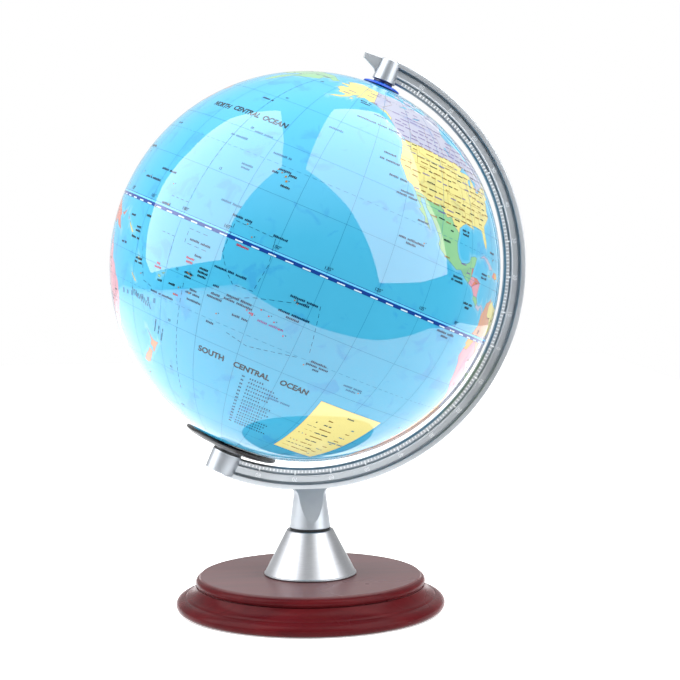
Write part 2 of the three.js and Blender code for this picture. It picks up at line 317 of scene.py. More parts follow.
def rounded(corners, steps=5, closed=True):
    """An outline through (x, z) or (x, z, radius) corners, with the ones that have a radius eased."""
    outline = []
    count = len(corners)
    for index, corner in enumerate(corners):
        here = Vector(corner[:2])
        inner = closed or 0 < index < count - 1
        if len(corner) < 3 or not inner:
            outline.append(here)
            continue
        before = Vector(corners[index - 1][:2]) - here
        after = Vector(corners[(index + 1) % count][:2]) - here
        half = before.angle(after) / 2
        reach = min(corner[2] / math.tan(half), before.length * 0.49, after.length * 0.49)
        first = here + before.normalized() * reach
        last = here + after.normalized() * reach
        for step in range(steps + 1):
            t = step / steps
            outline.append(first * (1 - t) ** 2 + here * 2 * t * (1 - t) + last * t * t)
    return outline


def arc(x, z, radius, start, end, steps, squash=1.0):
    """Points of a circle's arc, angles in degrees."""
    angles = [math.radians(start + (end - start) * k / steps) for k in range(steps + 1)]
    return [(x + radius * math.cos(a), z + radius * squash * math.sin(a)) for a in angles]


def piece(name, points, faces, body, materials, place=UPRIGHT, indices=None, stands_for=(),
          sharp=32, weighted=True):
    """A mesh piece with clean, outward faces that rides on a body of the frame."""
    mesh = bpy.data.meshes.new(name)
    mesh.from_pydata([place @ Vector(p) for p in points], [], faces)
    for material in materials:
        mesh.materials.append(material)
    if indices is not None:
        mesh.polygons.foreach_set("material_index", indices)
    work = bmesh.new()
    work.from_mesh(mesh)
    bmesh.ops.remove_doubles(work, verts=work.verts, dist=0.002 * MM)
    bmesh.ops.dissolve_degenerate(work, edges=work.edges, dist=0.001 * MM)
    bmesh.ops.recalc_face_normals(work, faces=work.faces)
    work.to_mesh(mesh)
    work.free()
    mesh.shade_smooth()
    mesh.set_sharp_from_angle(angle=math.radians(sharp))
    made = bpy.data.objects.new(name, mesh)
    bpy.context.scene.collection.objects.link(made)
    if weighted:
        made.modifiers.new("even_shading", "WEIGHTED_NORMAL").keep_sharp = True
    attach(made, body)
    if stands_for:
        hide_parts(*stands_for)


def tube_faces(count, levels):
    """Faces of a tube of rings with count points each, one ring more than levels, with both ends closed."""
    faces = []
    for level in range(levels):
        low, high = level * count, (level + 1) * count
        for i in range(count):
            j = (i + 1) % count
            faces.append((low + i, low + j, high + j, high + i))
    return faces + [tuple(reversed(range(count))), tuple(range(levels * count, (levels + 1) * count))]


def spun(profile, sides):
    """Points and faces of a closed profile turned round the local Z axis."""
    count = len(profile)
    turns = [2 * math.pi * k / sides for k in range(sides)]
    points = [(x * math.cos(a), x * math.sin(a), z) for a in turns for x, z in profile]
    faces = []
    for k in range(sides):
        here, there = k * count, (k + 1) % sides * count
        for i in range(count):
            j = (i + 1) % count
            faces.append((here + i, here + j, there + j, there + i))
    return points, faces


def spun_piece(name, profile, body, material, place=UPRIGHT, stands_for=(), sides=160):
    points, faces = spun(profile, sides)
    piece(name, points, faces, body, [material], place, stands_for=stands_for)


def boss(radius, low, high, ease):
    """Profile of a plain round boss between two heights."""
    return rounded([(0, low), (radius, low, ease), (radius, high, ease), (0, high)])


def washer(bore, outer, low, high, ease=0.2):
    return rounded([(bore, low, ease), (outer, low, ease), (outer, high, ease), (bore, high, ease)], 3)

# ---------------------------------------------------------------- base and collar

FELT_POCKET_R, FELT_POCKET_TOP = 80.4, FELT_TOP + 0.3
BOLT_HOLE_R = 3.3
BOLT_POCKET_R, BOLT_POCKET_TOP = 11.0, 9.0


def wood_base():
    """Turned base: foot roll, cove, bead and flat top, with the bolt hole and the felt recess below."""
    foot = arc(80.0, 4.4, 7.4, -30, 60, 16, 0.68)
    cove = arc(83.6, 19.4, 9.8, 250, 200, 12)
    bead = arc(71.8, 18.8, 2.8, -65, 80, 12)
    rim = [(FELT_POCKET_R, WOOD_LOW), (84.5, WOOD_LOW, 0.8), foot[0]]
    profile = [(FELT_POCKET_R, FELT_POCKET_TOP), (FELT_POCKET_R, WOOD_LOW)]
    profile += rounded(rim, 4, closed=False)[1:-1]
    profile += foot
    profile += [(82.6, 9.0), (82.0, 9.3), (81.2, 9.25)]
    profile += cove
    profile += [(73.6, 15.75), (73.4, 16.1)]
    profile += bead
    profile += rounded([bead[-1], (71.6, WOOD_TOP, 0.6), (70.0, WOOD_TOP)], 4, closed=False)[1:]
    profile += [(BOLT_HOLE_R, WOOD_TOP), (BOLT_HOLE_R, BOLT_POCKET_TOP)]
    profile += [(BOLT_POCKET_R, BOLT_POCKET_TOP), (BOLT_POCKET_R, FELT_POCKET_TOP)]
    spun_piece("turned_base", profile, "stand", WOOD, stands_for=("wood_base",), sides=240)


def collar():
    """Spun cone with a rolled lower lip, a thin wall and a chamfered top deck."""
    wall = 1.6
    lip_r, top_r = 30.0, 14.8
    deck_low = CONE_TOP - 3.0
    profile = rounded([
        (lip_r - wall, CONE_LOW, 0.4),
        (lip_r, CONE_LOW, 0.5),
        (lip_r, CONE_LOW + 0.9, 0.5),
        (lip_r - 0.6, CONE_LOW + 1.3, 0.4),
        (top_r + 0.5, CONE_TOP - 0.5, 0.25),
        (top_r, CONE_TOP, 0.25),
        (BOLT_HOLE_R, CONE_TOP, 0.2),
        (BOLT_HOLE_R, deck_low, 0.2),
        (top_r - 0.2 - wall, deck_low, 0.4),
    ], 4)
    spun_piece("spun_collar", profile, "stand", ALUMINIUM, stands_for=("collar_cone",),
               sides=200)


def seal():
    spun_piece("gasket_ring", washer(5.0, 13.0, SEAL_LOW, SEAL_TOP), "stand", RUBBER,
               stands_for=("seal_ring",))


# ---------------------------------------------------------------- arm

NECK_LOW, NECK_TOP = SEAL_TOP + 0.3, 81.0
NECK_R_LOW, NECK_R_TOP = 13.4, 9.8
NECK_FLAT_SLOPE = math.tan(math.radians(19))
NECK_FLAT_Z, NECK_FLAT_HALF = 79.3, 5.5
NECK_FLARE_Z, NECK_FLARE = 75.0, 4.2
AXLE_HOLE_R = 2.8
HUB_FACE = 129.0
NORTH_HUB_END, SOUTH_HUB_END = 143.0, 142.6
PLUG_R, PLUG_SOCKET_R, PLUG_SOCKET_FLOOR = 4.3, 4.6, 136.6
PLUG_LENGTH = 3.2


def arm_section():
    """Half section of the arm as (radius, half thickness, ease) corners from its inner edge outwards."""
    return [
        (ARM_INNER, 1.7, 0.15),
        (131.1, WEB_HALF, 0.15),
        (133.2, WEB_HALF, 0.1),
        (133.45, 2.2, 0.1),
        (134.2, 2.2, 0.1),
        (RIB[0] + 0.1, RIB_HALF, 0.25),
        (RIB[1] + 0.15, RIB_HALF, 0.25),
        (RIB[1] + 0.35, WEB_HALF, 0.1),
        (139.0, WEB_HALF, 0.1),
        (139.3, 2.1, 0.1),
        (FLANGE_R, 2.1, 0.1),
        (FLANGE_R + 0.1, FLANGE_HALF, 0.45),
        (ARM_OUTER, FLANGE_HALF, 0.7),
    ]


def is_groove(first, second):
    """True for the strips of the section that lie in a groove or on the inner bevel."""
    middle = (first + second) / 2
    depth = abs(middle.y)
    return depth < WEB_HALF - 0.08 and middle.x < FLANGE_R + 0.05 and depth > 1.0


def arm_bow():
    """The half circle of the arm, swept round the ball's centre from hub to hub."""
    half = arm_section()
    ring = rounded(half + [(r, -y, ease) for r, y, ease in reversed(half)], 3)
    start, end, steps = 1.2, 178.8, 220
    points = []
    for k in range(steps + 1):
        turn = math.radians(start + (end - start) * k / steps)
        points += [(r * math.sin(turn), y, r * math.cos(turn)) for r, y in ring]
    # the groove and bevel strips take the darker silver, painted shade in the recesses
    strips = [int(is_groove(here, there)) for here, there in zip(ring, ring[1:] + ring[:1])]
    piece("arm_bow", points, tube_faces(len(ring), steps), "stand", [SILVER, PAINTED_SHADE_SILVER],
          ON_AXLE, strips * steps + [0, 0], stands_for=("meridian_arm",))


def arm_hubs():
    """The two bosses that hold the axle, each with the socket of its plug."""
    for name, side, face_r, end_r, end in (("north_hub", 1, 7.7, 6.8, NORTH_HUB_END),
                                           ("south_hub", -1, 9.8, 9.8, SOUTH_HUB_END)):
        profile = rounded([
            (AXLE_HOLE_R, side * HUB_FACE),
            (face_r, side * HUB_FACE, 0.4),
            (end_r, side * end, 0.6),
            (PLUG_SOCKET_R, side * end, 0.3),
            (PLUG_SOCKET_R, side * PLUG_SOCKET_FLOOR),
            (AXLE_HOLE_R, side * PLUG_SOCKET_FLOOR),
        ], 4)
        # the hubs take the darker silver, painted shade
        spun_piece(name, profile, "stand", SHADED_ROUND_SILVER, ON_AXLE, sides=120)


def pointer_fin():
    """The flat pointer that leans out from the north hub on the side away from the arm."""
    half, bevel, shrink = 1.6, 0.3, 0.05
    outline = rounded([(-3.0, 142.9, 0.5), (-18.3, 141.7, 0.7), (-17.9, 138.3, 0.8), (-8.8, 134.3, 1.4),
                       (-7.8, 132.7, 0.8), (-3.0, 131.5, 0.4)], 5)
    middle = sum(outline, Vector((0, 0))) / len(outline)
    points = []
    for y, inset in ((-half, shrink), (-half + bevel, 0.0), (half - bevel, 0.0), (half, shrink)):
        points += [(p.x + (middle.x - p.x) * inset, y, p.y + (middle.y - p.y) * inset) for p in outline]
    piece("pointer_fin", points, tube_faces(len(outline), 3), "stand", [SILVER], ON_AXLE,
          sharp=50)


def neck():
    """Cone cut by two slanted flats, flaring into the arm's flange at its top."""
    arc_steps, flat_steps, levels = 22, 10, 60
    foot_chamfer, flare_power = 0.4, 2.2
    points = []
    for level in range(levels + 1):
        z = NECK_LOW + (NECK_TOP - NECK_LOW) * level / levels
        share = (z - NECK_LOW) / (NECK_TOP - NECK_LOW)
        radius = NECK_R_LOW + (NECK_R_TOP - NECK_R_LOW) * share
        if level == 0:
            radius -= foot_chamfer
        flare = max(0.0, (z - NECK_FLARE_Z) / (NECK_TOP - NECK_FLARE_Z)) ** flare_power * NECK_FLARE
        limit = min(radius, NECK_FLAT_HALF + (NECK_FLAT_Z - z) * NECK_FLAT_SLOPE)
        edge = math.asin(limit / radius)
        for side in (1, -1):
            for k in range(arc_steps + 1):
                a = -edge + 2 * edge * k / arc_steps
                points.append((side * (radius * math.cos(a) + flare), side * radius * math.sin(a), z))
            corner = radius * math.cos(edge) + flare
            for k in range(1, flat_steps):
                x = corner * (1 - 2 * k / flat_steps)
                points.append((side * x, side * limit, z))
    faces = tube_faces(2 * (arc_steps + flat_steps), levels)
    # the neck takes the darker silver, painted shade
    piece("arm_neck", points, faces, "stand", [SHADED_ROUND_SILVER], sharp=14)


def digits(text, height, bold=0.0):
    """Flat outline mesh of a short text, centred on (0, 0), as points and faces in millimetres."""
    data = bpy.data.curves.new("digits", "FONT")
    data.body = text
    data.size = height * 1.4
    data.align_x = "CENTER"
    data.align_y = "CENTER"
    data.resolution_u = 3
    data.offset = bold * height
    holder = bpy.data.objects.new("digits", data)
    bpy.context.scene.collection.objects.link(holder)
    bpy.context.view_layer.update()
    flat = holder.evaluated_get(bpy.context.evaluated_depsgraph_get()).to_mesh()
    points = [(v.co.x, v.co.y) for v in flat.vertices]
    faces = [tuple(p.vertices) for p in flat.polygons]
    bpy.data.objects.remove(holder)
    return points, faces


def block(u0, u1, v0, v1):
    """A flat quad from u0 to u1 and v0 to v1."""
    return [(u, v) for u in (u0, u1) for v in (v0, v1)], [(0, 2, 3, 1)]


class Marks:
    """Collects flat shapes, bends each onto a surface and gives it a material slot."""

    def __init__(self):
        self.points, self.faces, self.indices = [], [], []

    def add(self, shape, bend, index):
        points, faces = shape
        first = len(self.points)
        self.points += [bend(u, v) for u, v in points]
        self.faces += [tuple(first + i for i in face) for face in faces]
        self.indices += [index] * len(faces)

    def add_raised(self, shape, bend, index):
        """The same with a thickness: bend takes a third number from 0 at the foot to 1 at the top."""
        points, faces = shape
        first, count = len(self.points), len(points)
        self.points += [bend(u, v, level) for level in (0.0, 1.0) for u, v in points]
        self.faces += [tuple(first + count + i for i in face) for face in faces]
        edges = dict.fromkeys(edge for face in faces for edge in zip(face, face[1:] + face[:1]))
        rims = [(a, b) for a, b in edges if (b, a) not in edges]
        self.faces += [(first + a, first + b, first + count + b, first + count + a) for a, b in rims]
        self.indices += [index] * (len(faces) + len(rims))


def arm_scale():
    """Raised degree scale on both faces of the arm: a tick each degree, a numeral each ten."""
    marks = Marks()
    number_r, raise_by = 137.25, 0.22
    tick_low, tick_high = 131.35, 133.1

    def bender(degree, side):
        def bend(u, v, level):
            turn = math.radians(degree) + side * u / number_r
            return (v * math.sin(turn), -side * (WEB_HALF + raise_by * level), v * math.cos(turn))
        return bend

    for side in (1, -1):
        for degree in range(5, 176):
            bend = bender(degree, side)
            marks.add_raised(block(-0.42, 0.42, tick_low, tick_high), bend, 0)
            if degree % 10 == 0:
                marks.add_raised(block(-0.5, 0.5, tick_high, RIB[0] + 0.2), bend, 0)
                points, faces = digits(str(abs(90 - degree)), 2.6)
                marks.add_raised(([(u, number_r + v) for u, v in points], faces), bend, 0)
    piece("arm_scale", marks.points, marks.faces, "stand", [MARK_SILVER], ON_AXLE,
          marks.indices, weighted=False)


def hub_plugs():
    for end, low in (("north", NORTH_HUB_END - PLUG_LENGTH), ("south", -SOUTH_HUB_END)):
        spun_piece(f"plug_{end}", boss(PLUG_R, low, low + PLUG_LENGTH, 0.35), "stand", SILVER,
                   ON_AXLE, (f"hub_cap_{end}",), 72)


# ---------------------------------------------------------------- dial, spacer, dish and collar on the axle

TRIM_BORE_R = 2.9
TRIM_END = HUB_FACE - 0.3


def dial():
    """Hour dial: a shallow dome with a turned-down lip and 24 raised hour marks."""
    profile = rounded([(TRIM_BORE_R, 125.4), (9.5, 125.4, 0.3), (12.0, 124.95, 0.2), (12.25, 125.3, 0.2),
                       (12.0, 126.0, 0.4), (9.5, 126.9, 2.0), (6.8, 127.3, 1.0), (TRIM_BORE_R, 127.35)], 4)
    spun_piece("dial_disc", profile, "dial", BLUE, ON_AXLE, ("hour_dial",), 144)
    long_r, short_r, end_r = 9.0, 9.8, 11.2
    foot_height, fall, raise_by = 127.0, 0.36, 0.12
    marks = Marks()
    for hour in range(24):
        turn = math.radians(hour * 15)

        def bend(u, v, level, turn=turn):
            height = foot_height - (v - long_r) * fall + raise_by * level
            return (v * math.cos(turn) - u * math.sin(turn), v * math.sin(turn) + u * math.cos(turn), height)
        marks.add_raised(block(-0.14, 0.14, short_r if hour % 6 else long_r, end_r), bend, 0)
    piece("dial_marks", marks.points, marks.faces, "dial", [PALE_INK], ON_AXLE,
          marks.indices, weighted=False)


def axle_trim():
    """Spacer above the dial, and the dish and collar that carry the ball below."""
    spacer = washer(TRIM_BORE_R, 6.3, 127.6, TRIM_END, 0.3)
    # the collar above the dial takes the darker blue, painted shade
    spun_piece("spacer_ring", spacer, "stand", BLUE_IN_PAINTED_SHADE, ON_AXLE, ("north_spacer",), 96)
    dish = rounded([(TRIM_BORE_R, -126.4), (9.0, -126.4, 1.0), (20.0, -125.0, 8.0), (28.0, -123.2, 2.0),
                    (30.5, -122.3, 0.3), (31.0, -122.5, 0.2), (31.0, -123.3, 0.3), (28.6, -124.8, 1.5),
                    (20.0, -126.5, 8.0), (10.0, -127.4, 2.0), (TRIM_BORE_R, -127.4)], 5)
    spun_piece("dish", dish, "stand", BLACK, ON_AXLE, ("support_dish",), 160)
    below = washer(TRIM_BORE_R, 9.5, -TRIM_END, -127.7, 0.25)
    spun_piece("collar_ring", below, "stand", BLACK, ON_AXLE, ("south_collar",), 96)

# ---------------------------------------------------------------- map data, longitude and latitude in degrees

MAP_WEST = -169.2                      # the map is cut along this meridian, which crosses only Antarctica
MAP_EAST = MAP_WEST + 360
FRONT_MERIDIAN = -133.4                # the meridian that lies toward -Y at rest


def path(text):
    """Points from 'lon,lat lon,lat ...'."""
    return [tuple(float(number) for number in pair.split(",")) for pair in text.split()]


def open_lines(text):
    """Lines from 'lon,lat lon,lat ... / lon,lat ...'."""
    return [path(line) for line in text.split("/")]


def named_outlines(text):
    """Outlines by name, from words where each name stands before its 'lon,lat' points."""
    found = {}
    for word in text.split():
        if "," in word:
            points += path(word)
        else:
            points = found[word] = []
    return found


